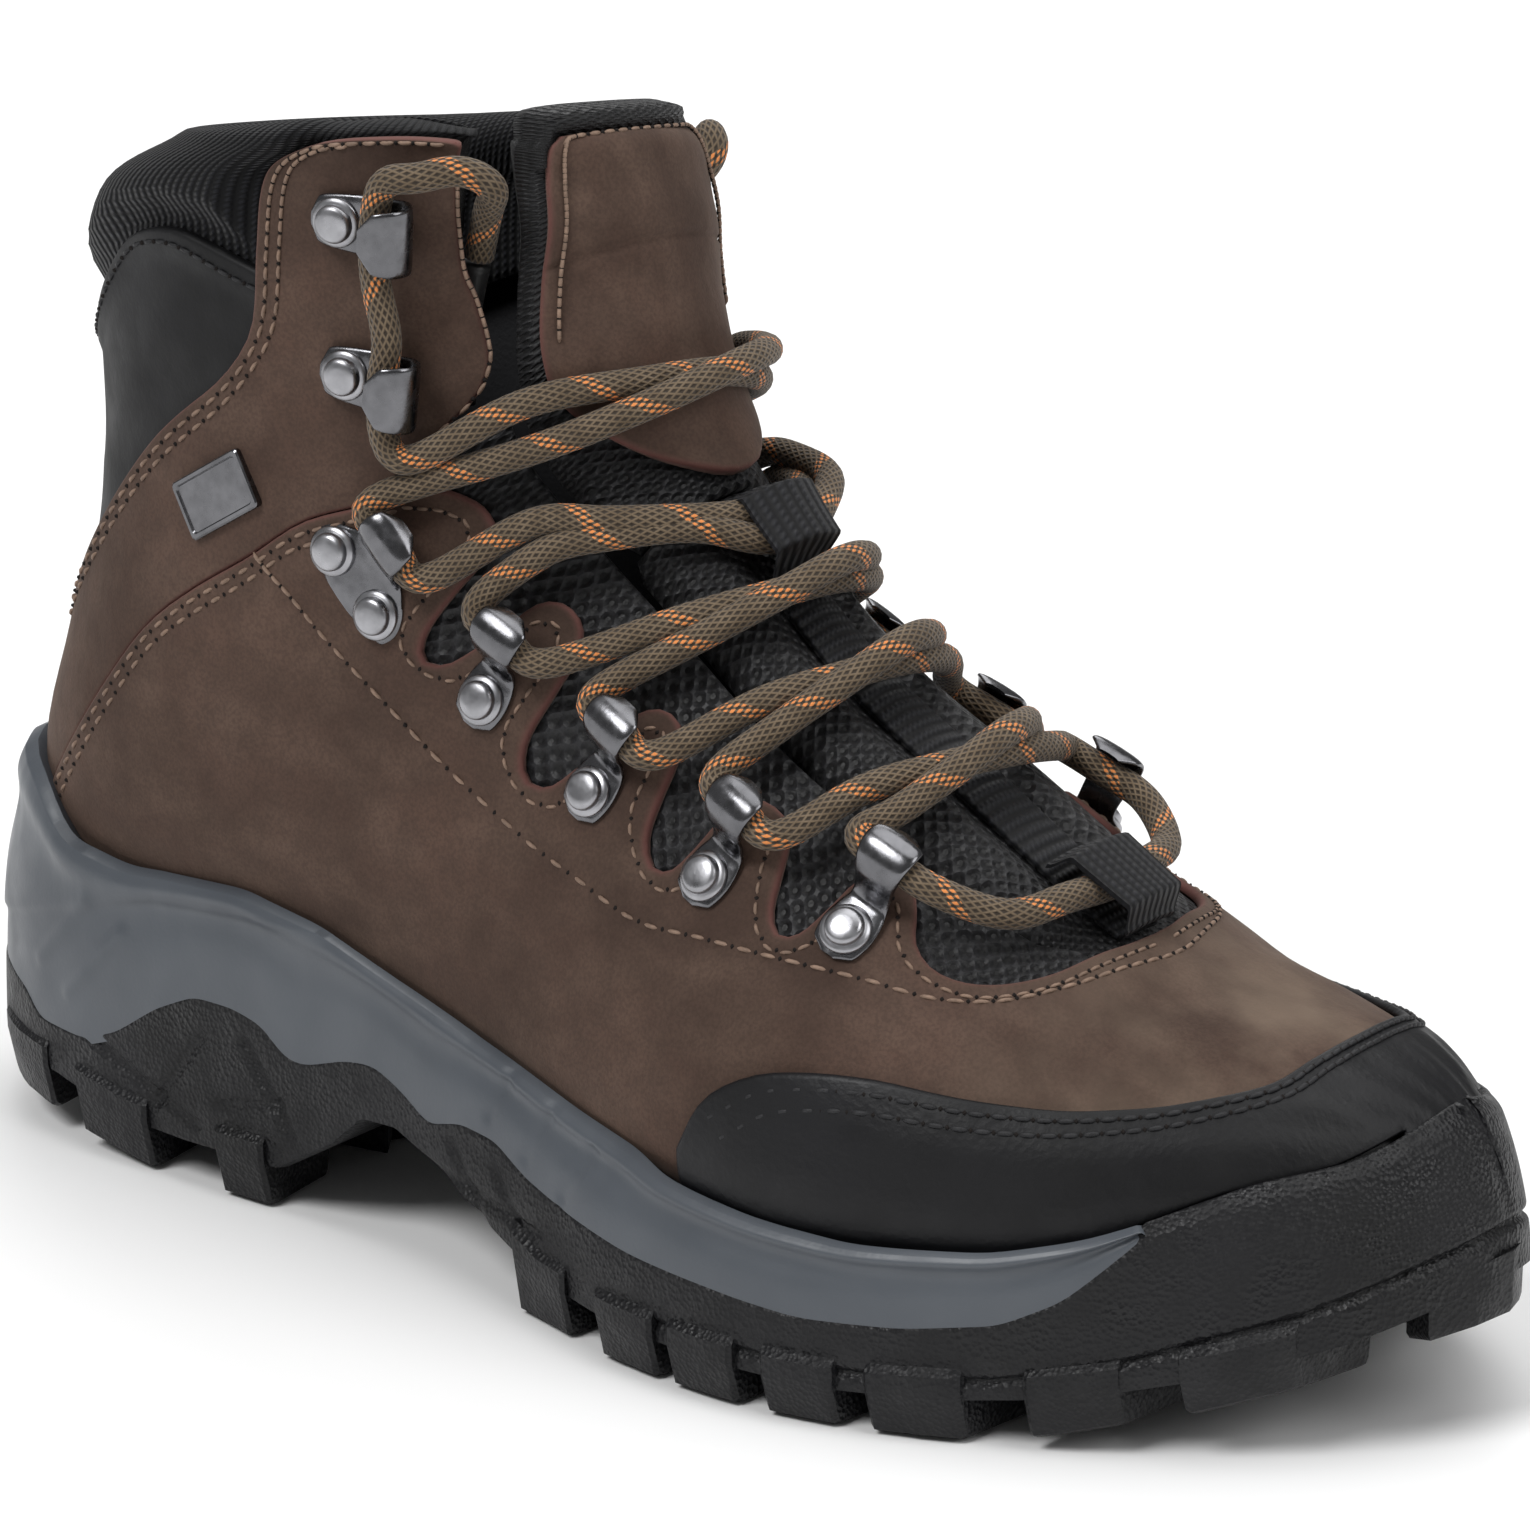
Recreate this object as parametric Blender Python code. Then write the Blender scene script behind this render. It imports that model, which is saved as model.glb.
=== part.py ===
"""A right mid-height hiking boot as separate pieces, in metres: +X is the toe, +Y the inner (medial) side, +Z up.

Upper pieces are cut out of one last surface. A place on it is (s, u): s counts the last's sections
from the toe (0) to the collar (18), and u runs round a section, 0 on top and -1 or +1 underneath,
negative on the outer (lateral) side. A third number is the height above the surface.
"""

import math

import bmesh
import bpy
import numpy as np
from mathutils import Matrix, Vector
from mathutils.geometry import delaunay_2d_cdt

MM = 0.001
# The last is drawn with its heel seam on the axis; this puts the bounding box's centre there.
SHIFT = np.array([-4.0, -4.7, 0.0]) * MM

# Sections of the last, in millimetres: top x, top z, bottom x, bottom z, lateral y, medial y,
# height share of the widest place, roundness above it, roundness below it.
SECTIONS = np.array([
    (134.0, 42.0, 134.0, 37.0, 1.0, 5.0, 0.50, 2.0, 2.0),
    (132.5, 45.0, 132.5, 31.0, -6.0, 10.5, 0.50, 2.2, 2.4),
    (129.0, 48.5, 129.5, 27.0, -12.5, 16.0, 0.45, 2.2, 2.6),
    (123.0, 52.5, 124.0, 25.0, -20.0, 22.0, 0.42, 2.2, 2.8),
    (113.0, 56.5, 114.0, 23.5, -29.0, 29.5, 0.38, 2.2, 3.0),
    (99.5, 60.0, 98.0, 22.0, -39.5, 37.5, 0.34, 2.1, 3.0),
    (86.0, 64.5, 81.0, 21.0, -47.5, 43.0, 0.30, 2.0, 3.0),
    (71.0, 74.0, 60.0, 20.5, -53.5, 46.0, 0.26, 1.9, 3.0),
    (50.0, 88.5, 35.0, 21.0, -54.5, 44.0, 0.23, 1.85, 3.0),
    (30.0, 101.5, 5.0, 24.0, -49.0, 38.5, 0.24, 1.85, 2.8),
    (13.0, 115.5, -35.0, 30.0, -41.5, 35.0, 0.32, 1.9, 2.6),
    (1.0, 129.5, -85.0, 34.0, -38.5, 35.0, 0.42, 2.0, 2.4),
    (-7.0, 144.0, -130.0, 38.0, -38.0, 35.5, 0.48, 2.1, 2.2),
    (-10.0, 153.5, -139.0, 58.0, -37.5, 35.5, 0.50, 2.2, 2.1),
    (-12.0, 162.0, -132.0, 84.0, -37.0, 35.5, 0.50, 2.2, 2.1),
    (-13.0, 168.5, -126.0, 112.0, -37.0, 36.0, 0.50, 2.2, 2.1),
    (-14.5, 173.5, -124.0, 140.0, -38.0, 36.0, 0.50, 2.2, 2.2),
    (-16.0, 177.5, -117.0, 160.0, -38.5, 35.0, 0.50, 2.2, 2.3),
    (-18.0, 179.5, -98.0, 171.0, -38.0, 32.5, 0.50, 2.2, 2.3),
    (-20.0, 186.0, -92.0, 178.0, -38.0, 32.5, 0.50, 2.2, 2.3),
])
TOP_S = len(SECTIONS) - 1
# The collar leans: its medial side is lower than its lateral one.
LEAN = 0.11

# Sole lines, as (x, value) in millimetres.
WALL_LATERAL = [(-151, 0), (-149, -8), (-143, -18), (-130, -28), (-115, -33), (-95, -36), (-75, -37.5),
                (-50, -39), (-30, -42.5), (0, -52), (18, -58), (39, -61), (55, -60), (70, -56.5),
                (82, -52), (95, -47), (110, -39.5), (122, -31.5), (132, -22.5), (139.5, -12), (143.5, -3)]
WALL_MEDIAL = [(144, 3), (142, 8.5), (137.5, 16), (131, 24), (122, 33), (108, 42), (90, 48.5), (60, 51.5),
               (30, 46), (0, 38.5), (-30, 34.5), (-70, 36), (-95, 36), (-115, 33), (-130, 28),
               (-143, 18), (-149, 8)]
RIM = [(-151, 65), (-140, 65), (-126, 62), (-115, 54), (-101, 51.5), (-73, 53.5), (-55, 51), (-40, 46),
       (-20, 40), (2, 35.6), (22, 32), (44, 29.6), (61, 28.8), (83, 30.4), (97, 33.7), (106, 37),
       (120, 42.5), (133, 45), (141, 48.5), (147, 53), (151, 54)]
LOBES = [(-151, 27), (-136, 26), (-128, 24.6), (-124, 20.6), (-112, 20.3), (-103, 23.5), (-93, 30.5),
         (-84, 34.9), (-75, 34.9), (-68, 33.2), (-63.5, 28.6), (-59, 27.9), (-50, 30.6), (-43, 31.1),
         (-36, 28), (-30, 24.6), (-22, 27.3), (-13, 27.3), (-5, 24.1), (6, 21.8), (21, 20), (38, 19),
         (55, 17.5), (71, 18.3), (85, 20.4), (94, 25.3), (100, 31.3), (106, 37.5), (151, 90)]
TREAD = [(-151, 15), (-140, 12.5), (-119, 11.5), (-100, 8), (-87, 7.5), (-66, 7.5), (-60, 11), (-53, 15),
         (-46, 21), (-38, 21.5), (-29, 18.5), (-10, 11), (0, 7.5), (20, 6.5), (60, 6), (80, 7), (88, 8),
         (103, 11), (115, 14), (130, 19), (145, 26), (151, 29)]
LUG_FOOT = [(-151, 9), (-138, 5.5), (-121, 4), (-113, 2.5), (-100, 0.6), (-94, 0), (68, 0), (82, 0.3), (91, 2),
            (100, 4.5), (110, 7), (125, 12), (138, 17.5), (145, 20), (151, 24)]
BED = [(-151, 40), (-131, 38), (-85, 34), (-35, 30), (5, 24), (60, 20.5), (98, 22), (114, 23.5), (131, 27),
       (151, 30)]
CORE = [(-151, 27), (-131, 26), (-85, 24), (-46, 25), (-20, 21.5), (5, 15.5), (60, 12), (98, 13.5),
        (114, 17), (131, 22), (151, 31)]
# Lugs as (back x, front x, share of the half width where the block starts inside).
SIDE_LUGS = [(-139, -121, 0.42), (-113, -95, 0.5), (-79, -68, 0.5), (-7, 7, 0.55), (15, 28, 0.5),
             (31, 44, 0.55), (49, 61, 0.5), (66, 80, 0.5), (89, 102, 0.5), (110, 124, 0.45)]
MID_LUGS = [(-108, -90), (-84, -66), (-2, 14), (22, 38), (46, 62), (70, 86), (94, 110)]
PERIMETER = 96
# Height at which the sole's outline is cut for its underside.
SOLE_BASE = 4.0

# Edges of the upper's panels on the lateral side, as (s, u); the medial side mirrors them.
SEAM = [(12.55, -0.95), (12.6, -0.86), (12.75, -0.78), (12.95, -0.7), (13.15, -0.62), (13.15, -0.55),
        (13.05, -0.47), (13.0, -0.4), (12.7, -0.33), (12.5, -0.29)]
TABS = [(12.38, -0.262), (12.15, -0.24), (11.85, -0.225), (11.6, -0.232), (11.5, -0.26), (11.45, -0.3),
        (11.38, -0.345), (11.26, -0.37), (11.13, -0.36), (11.07, -0.33), (11.03, -0.29), (10.99, -0.25),
        (10.85, -0.232), (10.65, -0.236), (10.52, -0.262), (10.46, -0.31), (10.4, -0.37),
        (10.27, -0.403), (10.13, -0.395), (10.05, -0.355), (9.99, -0.31), (9.94, -0.262), (9.8, -0.237),
        (9.62, -0.24), (9.53, -0.268), (9.48, -0.31), (9.42, -0.352), (9.3, -0.373), (9.17, -0.36),
        (9.1, -0.32), (9.06, -0.28), (9.0, -0.245), (8.85, -0.225), (8.65, -0.226), (8.55, -0.247),
        (8.48, -0.28), (8.4, -0.318), (8.28, -0.333), (8.15, -0.315), (8.07, -0.27), (8.03, -0.235),
        (7.95, -0.205), (7.82, -0.192), (7.68, -0.198), (7.58, -0.22), (7.48, -0.248), (7.3, -0.262),
        (7.05, -0.252), (6.8, -0.22), (6.6, -0.17), (6.48, -0.1), (6.4, -0.05), (6.37, 0.0)]
FLAP = [(12.56, -0.285), (12.85, -0.262), (12.95, -0.225), (13.05, -0.2), (13.35, -0.188),
        (13.7, -0.192), (14.3, -0.207), (14.8, -0.224), (15.3, -0.23), (16.3, -0.232), (17.2, -0.236),
        (17.6, -0.25), (17.8, -0.272), (17.92, -0.31), (17.95, -0.35), (17.92, -0.42), (17.8, -0.455),
        (17.5, -0.47), (17.0, -0.474), (16.0, -0.477), (15.4, -0.488), (15.15, -0.51), (15.0, -0.55),
        (14.93, -0.61), (14.85, -0.66), (14.68, -0.72), (14.42, -0.8), (14.2, -0.88), (14.12, -0.997)]
CAP = [(8.35, -0.6), (8.25, -0.53), (7.98, -0.475), (7.65, -0.44), (7.3, -0.415), (7.0, -0.402), (6.3, -0.383),
       (5.5, -0.36),
       (4.8, -0.325), (4.15, -0.25), (3.95, -0.15), (3.88, -0.07), (3.86, 0.0)]
PATCH_TOP = [(15.4, -0.44), (15.75, -0.48), (16.3, -0.585), (16.47, -0.65), (16.45, -0.71), (16.2, -0.78),
             (15.95, -0.86), (15.8, -1.0)]
PATCH_FOOT = [(13.9, -1.0), (14.0, -0.87), (14.25, -0.75), (14.5, -0.66), (14.6, -0.56), (14.9, -0.46)]

# Fittings down each facing: (s, u) of the rivet.
LOOPS = [(7.87, 0.285), (8.9, 0.335), (9.86, 0.362), (10.76, 0.36)]
LOCK = (12.02, 0.352)
HOOKS = [(14.3, 0.352), (16.1, 0.362)]
LACE_RADIUS = 2.1 * MM
LACE_POINTS = 315


def table(rows, x):
    xs, values = zip(*rows)
    return np.interp(x, xs, values)


def smoothstep(a, b, x):
    t = np.clip((x - a) / (b - a), 0.0, 1.0)
    return t * t * (3.0 - 2.0 * t)


def spline(points, count):
    """Samples of a smooth open curve through points, evenly spread over its spans."""
    p = np.asarray(points, float)
    last = len(p) - 1
    out = []
    for a in np.linspace(0.0, last, count):
        i = min(int(a), last - 1)
        t = a - i
        before = p[i + 1] - p[i - 1] if i else 2 * (p[1] - p[0])
        after = p[i + 2] - p[i] if i + 2 <= last else 2 * (p[last] - p[last - 1])
        out.append((2 * t**3 - 3 * t**2 + 1) * p[i] + (t**3 - 2 * t**2 + t) * before / 2
                   + (3 * t**2 - 2 * t**3) * p[i + 1] + (t**3 - t**2) * after / 2)
    return np.array(out)


def even(points, count, closed=False):
    """The same line again with count points at equal steps."""
    p = np.asarray(points, float)
    if closed:
        p = np.vstack([p, p[:1]])
    along = np.r_[0.0, np.cumsum(np.linalg.norm(np.diff(p, axis=0), axis=1))]
    at = np.linspace(0.0, along[-1], count + 1)[:-1] if closed else np.linspace(0.0, along[-1], count)
    return np.stack([np.interp(at, along, p[:, k]) for k in range(p.shape[1])], 1)


class Last:
    """The outside of the leather, as a grid of points over (s, u)."""

    SIDE = 49

    def __init__(self, rings=153):
        rows = spline(SECTIONS, rings)
        self.grid = np.array([self.ring(row) for row in rows])

    def ring(self, row):
        top_x, top_z, low_x, low_z, lateral, medial, wide, q_top, q_low = row
        top = np.array([top_x, 0.0, top_z])
        low = np.array([low_x, 0.0, low_z])
        angle = np.linspace(0.0, np.pi, 181)
        c = np.cos(angle)
        power = np.where(c > 0, q_top, q_low)
        out = np.abs(np.sin(angle)) ** (2.0 / power)
        up = wide + np.where(c > 0, (1 - wide) * np.abs(c) ** (2.0 / q_top), -wide * np.abs(c) ** (2.0 / q_low))
        sides = []
        for sign in (-1, 1):
            points = low + (top - low) * up[:, None]
            points[:, 1] = (lateral + medial) / 2 + sign * (medial - lateral) / 2 * out
            high = smoothstep(120.0, 175.0, points[:, 2])
            points[:, 2] -= LEAN * high * points[:, 1]
            sides.append(even(points, self.SIDE))
        return np.vstack([sides[0][::-1], sides[1][1:]]) * MM

    def point(self, s, u, h=0.0):
        s, u, h = np.broadcast_arrays(*(np.asarray(v, float) for v in (s, u, h)))
        wrapped = (u + 1.0) % 2.0 - 1.0
        rows, columns = self.grid.shape[:2]
        a = np.clip(s / TOP_S, 0, 1) * (rows - 1)
        b = (wrapped + 1) / 2 * (columns - 1)

        def at(a, b):
            b = b % (columns - 1)
            i = np.clip(a.astype(int), 0, rows - 2)
            j = np.clip(b.astype(int), 0, columns - 2)
            fa = (a - i)[..., None]
            fb = (b - j)[..., None]
            g = self.grid
            return (g[i, j] * (1 - fa) * (1 - fb) + g[i + 1, j] * fa * (1 - fb)
                    + g[i, j + 1] * (1 - fa) * fb + g[i + 1, j + 1] * fa * fb)

        ds = at(np.minimum(a + 1.5, rows - 1), b) - at(np.maximum(a - 1.5, 0), b)
        du = at(a, b + 1.5) - at(a, b - 1.5)
        normal = np.cross(du, ds)
        normal /= np.maximum(np.linalg.norm(normal, axis=-1, keepdims=True), 1e-12)
        return at(a, b) + normal * h[..., None]

    def frame(self, s, u):
        """Point, outward normal, direction of growing s and the direction towards the tongue, at (s, u)."""
        point = self.point(s, u)
        normal = self.point(s, u, 1.0) - point
        up = self.point(s + 0.2, u) - self.point(s - 0.2, u)
        up -= normal * np.dot(up, normal)
        up /= np.linalg.norm(up)
        inward = np.cross(up, normal)
        if np.dot(inward, self.point(s, u * 0.8) - point) < 0:
            inward = -inward
        return point, normal, up, inward


LAST = Last()


# Colour, roughness and metalness of the pieces whose names start with each word.
FINISHES = [
    ("outsole", (0.035, 0.035, 0.038), 0.6, 0.0),
    ("midsole", (0.10, 0.12, 0.14), 0.45, 0.0),
    ("shank", (0.08, 0.08, 0.08), 0.5, 0.0),
    ("insole_board", (0.45, 0.42, 0.36), 0.85, 0.0),
    ("footbed", (0.05, 0.05, 0.055), 0.9, 0.0),
    ("vamp", (0.095, 0.055, 0.040), 0.85, 0.0),
    ("ankle_quarter", (0.095, 0.055, 0.040), 0.85, 0.0),
    ("tongue_patch", (0.095, 0.055, 0.040), 0.85, 0.0),
    ("toe_cap", (0.020, 0.020, 0.021), 0.5, 0.0),
    ("toe_puff", (0.20, 0.20, 0.20), 0.5, 0.0),
    ("heel_patch", (0.018, 0.018, 0.020), 0.5, 0.0),
    ("heel_counter", (0.20, 0.20, 0.20), 0.5, 0.0),
    ("collar", (0.016, 0.016, 0.018), 0.85, 0.0),
    ("lining", (0.030, 0.030, 0.032), 0.9, 0.0),
    ("gusset", (0.016, 0.016, 0.018), 0.7, 0.0),
    ("tongue", (0.018, 0.018, 0.020), 0.8, 0.0),
    ("lace_keeper", (0.020, 0.020, 0.022), 0.7, 0.0),
    ("lace", (0.15, 0.10, 0.06), 0.75, 0.0),
    ("aglet", (0.020, 0.020, 0.020), 0.3, 0.0),
    ("", (0.22, 0.22, 0.23), 0.35, 1.0),
]
# Edges sharper than this stay crisp; the rest is shaded smooth.
CREASE = math.radians(38)


def finish(name):
    """The piece's own material: the first row of FINISHES that its name starts with."""
    colour, rough, metallic = next(row[1:] for row in FINISHES if name.startswith(row[0]))
    material = bpy.data.materials.new(name)
    material.use_nodes = True
    shader = material.node_tree.nodes["Principled BSDF"]
    shader.inputs["Base Color"].default_value = (*colour, 1.0)
    shader.inputs["Roughness"].default_value = rough
    shader.inputs["Metallic"].default_value = metallic
    return material


def add(name, vertices, faces):
    """One closed body, its faces turned outwards."""
    mesh = bpy.data.meshes.new(name)
    mesh.from_pydata([tuple(v - SHIFT) for v in np.asarray(vertices, float)], [], faces)
    bm = bmesh.new()
    bm.from_mesh(mesh)
    bmesh.ops.remove_doubles(bm, verts=bm.verts, dist=1e-6)
    bmesh.ops.dissolve_degenerate(bm, edges=bm.edges, dist=1e-6)
    bmesh.ops.triangulate(bm, faces=bm.faces)
    bmesh.ops.recalc_face_normals(bm, faces=bm.faces)
    if bm.calc_volume(signed=True) < 0:
        bmesh.ops.reverse_faces(bm, faces=bm.faces)
    bm.to_mesh(mesh)
    bm.free()
    mesh.shade_smooth()
    mesh.set_sharp_from_angle(angle=CREASE)
    mesh.materials.append(finish(name))
    obj = bpy.data.objects.new(name, mesh)
    bpy.context.scene.collection.objects.link(obj)
    return obj


def inside(points, loop):
    """Which of points lie in the closed loop."""
    x, y = points[:, 0], points[:, 1]
    hit = np.zeros(len(points), bool)
    for (x0, y0), (x1, y1) in zip(loop, np.roll(loop, -1, axis=0)):
        crosses = (y0 > y) != (y1 > y)
        at = x0 + (y - y0) / np.where(y1 == y0, 1e-12, y1 - y0) * (x1 - x0)
        hit ^= crosses & (x < at)
    return hit


def distance(points, loop, closed=True):
    """Distance from each point to the nearest place on the loop."""
    ends = np.roll(loop, -1, axis=0) if closed else loop[1:]
    best = np.full(len(points), np.inf)
    for a, b in zip(loop if closed else loop[:-1], ends):
        d = b - a
        t = np.clip(((points - a) @ d) / max(d @ d, 1e-18), 0, 1)
        best = np.minimum(best, np.linalg.norm(points - a - t[:, None] * d, axis=1))
    return best


# One unit of s is about this many millimetres along the last, and one of u about this many round it.
S_SIZE = 18.0
U_SIZE = 125.0


def fill(loop, step):
    """Triangles over a flat closed loop, with a grid of inner points step apart."""
    low, high = loop.min(0), loop.max(0)
    xs = np.arange(low[0] + step / 2, high[0], step)
    ys = np.arange(low[1] + step / 2, high[1], step)
    grid = np.stack(np.meshgrid(xs, ys), -1).reshape(-1, 2)
    grid = grid[inside(grid, loop)]
    if len(grid):
        grid = grid[distance(grid, loop) > step * 0.45]
    count = len(loop)
    points = [Vector(p) for p in np.vstack([loop, grid])]
    edges = [(i, (i + 1) % count) for i in range(count)]
    found = delaunay_2d_cdt(points, edges, [], 0, 1e-7)
    flat = np.array([tuple(v) for v in found[0]])
    centres = np.array([flat[list(f)].mean(0) for f in found[2]])
    keep = inside(centres, loop)
    return flat, [tuple(f) for f, k in zip(found[2], keep) if k]


def panel(name, outline, outer, inner, step=7.0):
    """A sheet cut to outline, (s, u) points, between two heights over the last; a height may be a function of (s, u)."""
    corners = np.asarray(outline, float) * [S_SIZE, U_SIZE]
    loop = []
    for a, b in zip(corners, np.roll(corners, -1, axis=0)):
        parts = max(1, math.ceil(np.linalg.norm(b - a) / step))
        loop += [a + (b - a) * k / parts for k in range(parts)]
    flat, triangles = fill(np.array(loop), step)
    s, u = flat[:, 0] / S_SIZE, flat[:, 1] / U_SIZE
    high = outer(s, u) if callable(outer) else outer
    low = inner(s, u) if callable(inner) else inner
    count = len(flat)
    vertices = np.vstack([LAST.point(s, u, high), LAST.point(s, u, low)])
    faces = list(triangles) + [tuple(i + count for i in f[::-1]) for f in triangles]
    uses = {}
    for f in triangles:
        for a, b in zip(f, f[1:] + f[:1]):
            uses[(a, b)] = uses.get((a, b), 0) + 1
    for a, b in uses:
        if (b, a) not in uses:
            faces.append((b, a, a + count, b + count))
    return add(name, vertices, faces)


def mirrored(points):
    return [(s, -u) for s, u in reversed(points)]


def thin(points, step):
    """A smooth line through points, with a point about every step millimetres."""
    line = spline(points, len(points) * 6)
    scaled = line * [S_SIZE, U_SIZE]
    length = np.linalg.norm(np.diff(scaled, axis=0), axis=1).sum()
    return even(scaled, max(3, int(length / step))) / [S_SIZE, U_SIZE]


def rim_u(s, side):
    """u where section s meets the sole's rim, on side -1 or +1."""
    low, high = 0.0, 1.0
    for _ in range(30):
        middle = (low + high) / 2
        x, _, z = LAST.point(s, side * middle) / MM
        if z > table(RIM, x * 1.08):
            low = middle
        else:
            high = middle
    return side * low


def feather():
    """The closed line where upper and sole meet, in order round the boot, and its (s, u)."""
    stations = np.linspace(13.35, 1.72, 90)
    lateral = [(s, rim_u(s, -1)) for s in stations]
    medial = [(s, rim_u(s, 1)) for s in stations[::-1]]
    return np.array(lateral + medial)


FEATHER = feather()


def tucked(s_from, s_to, side, depth, count=24):
    """Points a little below the rim, on one side, where a panel ends inside the sole."""
    rows = FEATHER[:90] if side < 0 else FEATHER[90:][::-1]
    s = np.linspace(s_from, s_to, count)
    u = np.interp(s, rows[::-1, 0], np.abs(rows[::-1, 1]))
    return [(a, side * min(b + depth, 0.985)) for a, b in zip(s, u)]


class Sole:
    """The sole's side wall at PERIMETER places round it."""

    def __init__(self, count=PERIMETER):
        line = LAST.point(FEATHER[:, 0], FEATHER[:, 1]) / MM
        self.inner = even(line, count, closed=True)
        wall = even(spline(WALL_LATERAL + WALL_MEDIAL + WALL_LATERAL[:1], 400), 800)
        self.outer = np.array([self.across(wall, i) for i in range(count)])
        x = self.outer[:, 0]
        self.rim = table(RIM, x)
        self.lobe = np.minimum(table(LOBES, x), self.rim)
        self.front = smoothstep(104.0, 112.0, x)
        # The rim stands off the leather, further where the toe cap lies over it.
        self.lip = 0.8 + 2.2 * smoothstep(16.0, 30.0, self.inner[:, 0])
        self.flare = self.lip + 4.2 * smoothstep(112.0, 126.0, self.inner[:, 0])
        self.ledge = 4.0 - 3.2 * smoothstep(88.0, 101.0, x)
        self.tread = table(TREAD, x)
        self.foot = table(LUG_FOOT, x)

    def across(self, wall, i):
        """The wall point straight out from inner point i."""
        ahead = self.inner[(i + 1) % len(self.inner)] - self.inner[i - 1]
        out = np.array([ahead[1], -ahead[0]])
        out /= np.linalg.norm(out)
        away = wall - self.inner[i, :2]
        along = away @ out
        off = np.abs(away @ [-out[1], out[0]])
        score = np.where(along > -4, off, 1e9)
        return wall[np.argmin(score + 0.15 * np.abs(along))]

    def shifted(self, base, amount):
        """A plan line moved in by amount, towards the inside of the boot."""
        ahead = np.roll(base, -1, axis=0) - np.roll(base, 1, axis=0)
        out = np.stack([ahead[:, 1], -ahead[:, 0]], 1)
        out /= np.linalg.norm(out, axis=1, keepdims=True)
        centre = base[:, :2].mean(0)
        if ((base[:, :2] - centre) * out).sum() < 0:
            out = -out
        return base[:, :2] - out * np.reshape(amount, (-1, 1))

    def wall(self, z):
        """Plan of the side wall at height z, which leans in to the rim at the top and in a little at the ground."""
        share = np.clip((z - 8.0) / (self.rim - 8.0), 0, 1)[:, None]
        top = self.shifted(self.inner[:, :2], -self.lip - 1.1)
        plan = self.outer * (1 - share**3) + top * share**3
        return self.shifted(plan, np.clip((14.0 - z) / 14.0, 0, 1) * 1.6)

    def off_leather(self, amount, z, skin=1.2):
        """Plan that stands off the leather by amount, kept inside the side wall at height z."""
        reach = self.wall(z) - self.inner[:, :2]
        far = np.linalg.norm(reach, axis=1)
        share = np.minimum(amount, far - skin) / far
        return self.inner[:, :2] + reach * share[:, None]

    def floor(self, plan):
        """Height of the tray's floor under each point of a plan line."""
        return np.minimum(table(CORE, plan[:, 0]), self.lobe - 1.6)

    def ring(self, plan, z):
        return np.column_stack([plan, np.broadcast_to(z, len(plan))]) * MM


def cap(ring, start):
    """Triangles that close a ring of points numbered from start."""
    points = [Vector((p[0], p[1])) for p in ring]
    count = len(points)
    found = delaunay_2d_cdt(points, [(i, (i + 1) % count) for i in range(count)], [], 1, 1e-9)
    origin = [o[0] for o in found[3]]
    return [tuple(start + origin[i] for i in f) for f in found[2]]


def band(a, b, count):
    return [(a + i, a + (i + 1) % count, b + (i + 1) % count, b + i) for i in range(count)]


def loft(name, rings):
    """A body through closed rings, with both ends capped."""
    count = len(rings[0])
    faces = cap(rings[0], 0) + cap(rings[-1], count * (len(rings) - 1))
    for k in range(len(rings) - 1):
        faces += band(k * count, (k + 1) * count, count)
    return add(name, np.vstack(rings), faces)


SOLE = Sole()


def midsole():
    """The grey foam: a cup as far as the bumper, and a flat bed under the toes."""
    w = SOLE
    front = w.front
    blend = front[:, None]
    foot = w.lobe + 0.35
    hidden = w.shifted(w.inner[:, :2], 6.0)
    edge = w.shifted(w.wall(foot), w.ledge + 0.4) * (1 - blend) + hidden * blend
    core = w.floor(edge) + 0.8 * front
    lip = w.shifted(w.inner[:, :2], -w.lip) * (1 - blend) + w.shifted(w.inner[:, :2], 6.5) * blend
    bed = table(BED, lip[:, 0]) - 2.0
    rings = [w.ring(edge, core + 0.9)]
    rings.append(w.ring(edge, foot * (1 - front) + (core + 1.3) * front))
    for share in (0.0, 0.45, 0.8, 1.0):
        z = (foot + (w.rim - foot) * share) * (1 - front) + (core + 1.4 + (bed - core - 1.7) * share) * front
        rings.append(w.ring(w.wall(z) * (1 - blend) + hidden * blend, z))
    rings.append(w.ring(lip, (w.rim - 0.4) * (1 - front) + (bed - 0.1) * front))
    # Above the tray's ledge the cup is open as far as the leather; below it the foam reaches further in.
    step = bed + np.maximum(foot + 2.0 - bed, 0.4) * (1 - smoothstep(84.0, 93.0, lip[:, 0])) + 0.1 * blend[:, 0]
    deep = w.shifted(w.inner[:, :2], 7.2)
    rings.append(w.ring(lip, step))
    rings.append(w.ring(deep, step))
    rings.append(w.ring(deep, bed))
    return loft("midsole", rings)


def turns_left(outline):
    """Whether a plan outline runs anticlockwise."""
    p = np.asarray(outline, float)
    q = np.roll(p, -1, axis=0)
    return (p[:, 0] * q[:, 1] - q[:, 0] * p[:, 1]).sum() > 0


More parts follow.
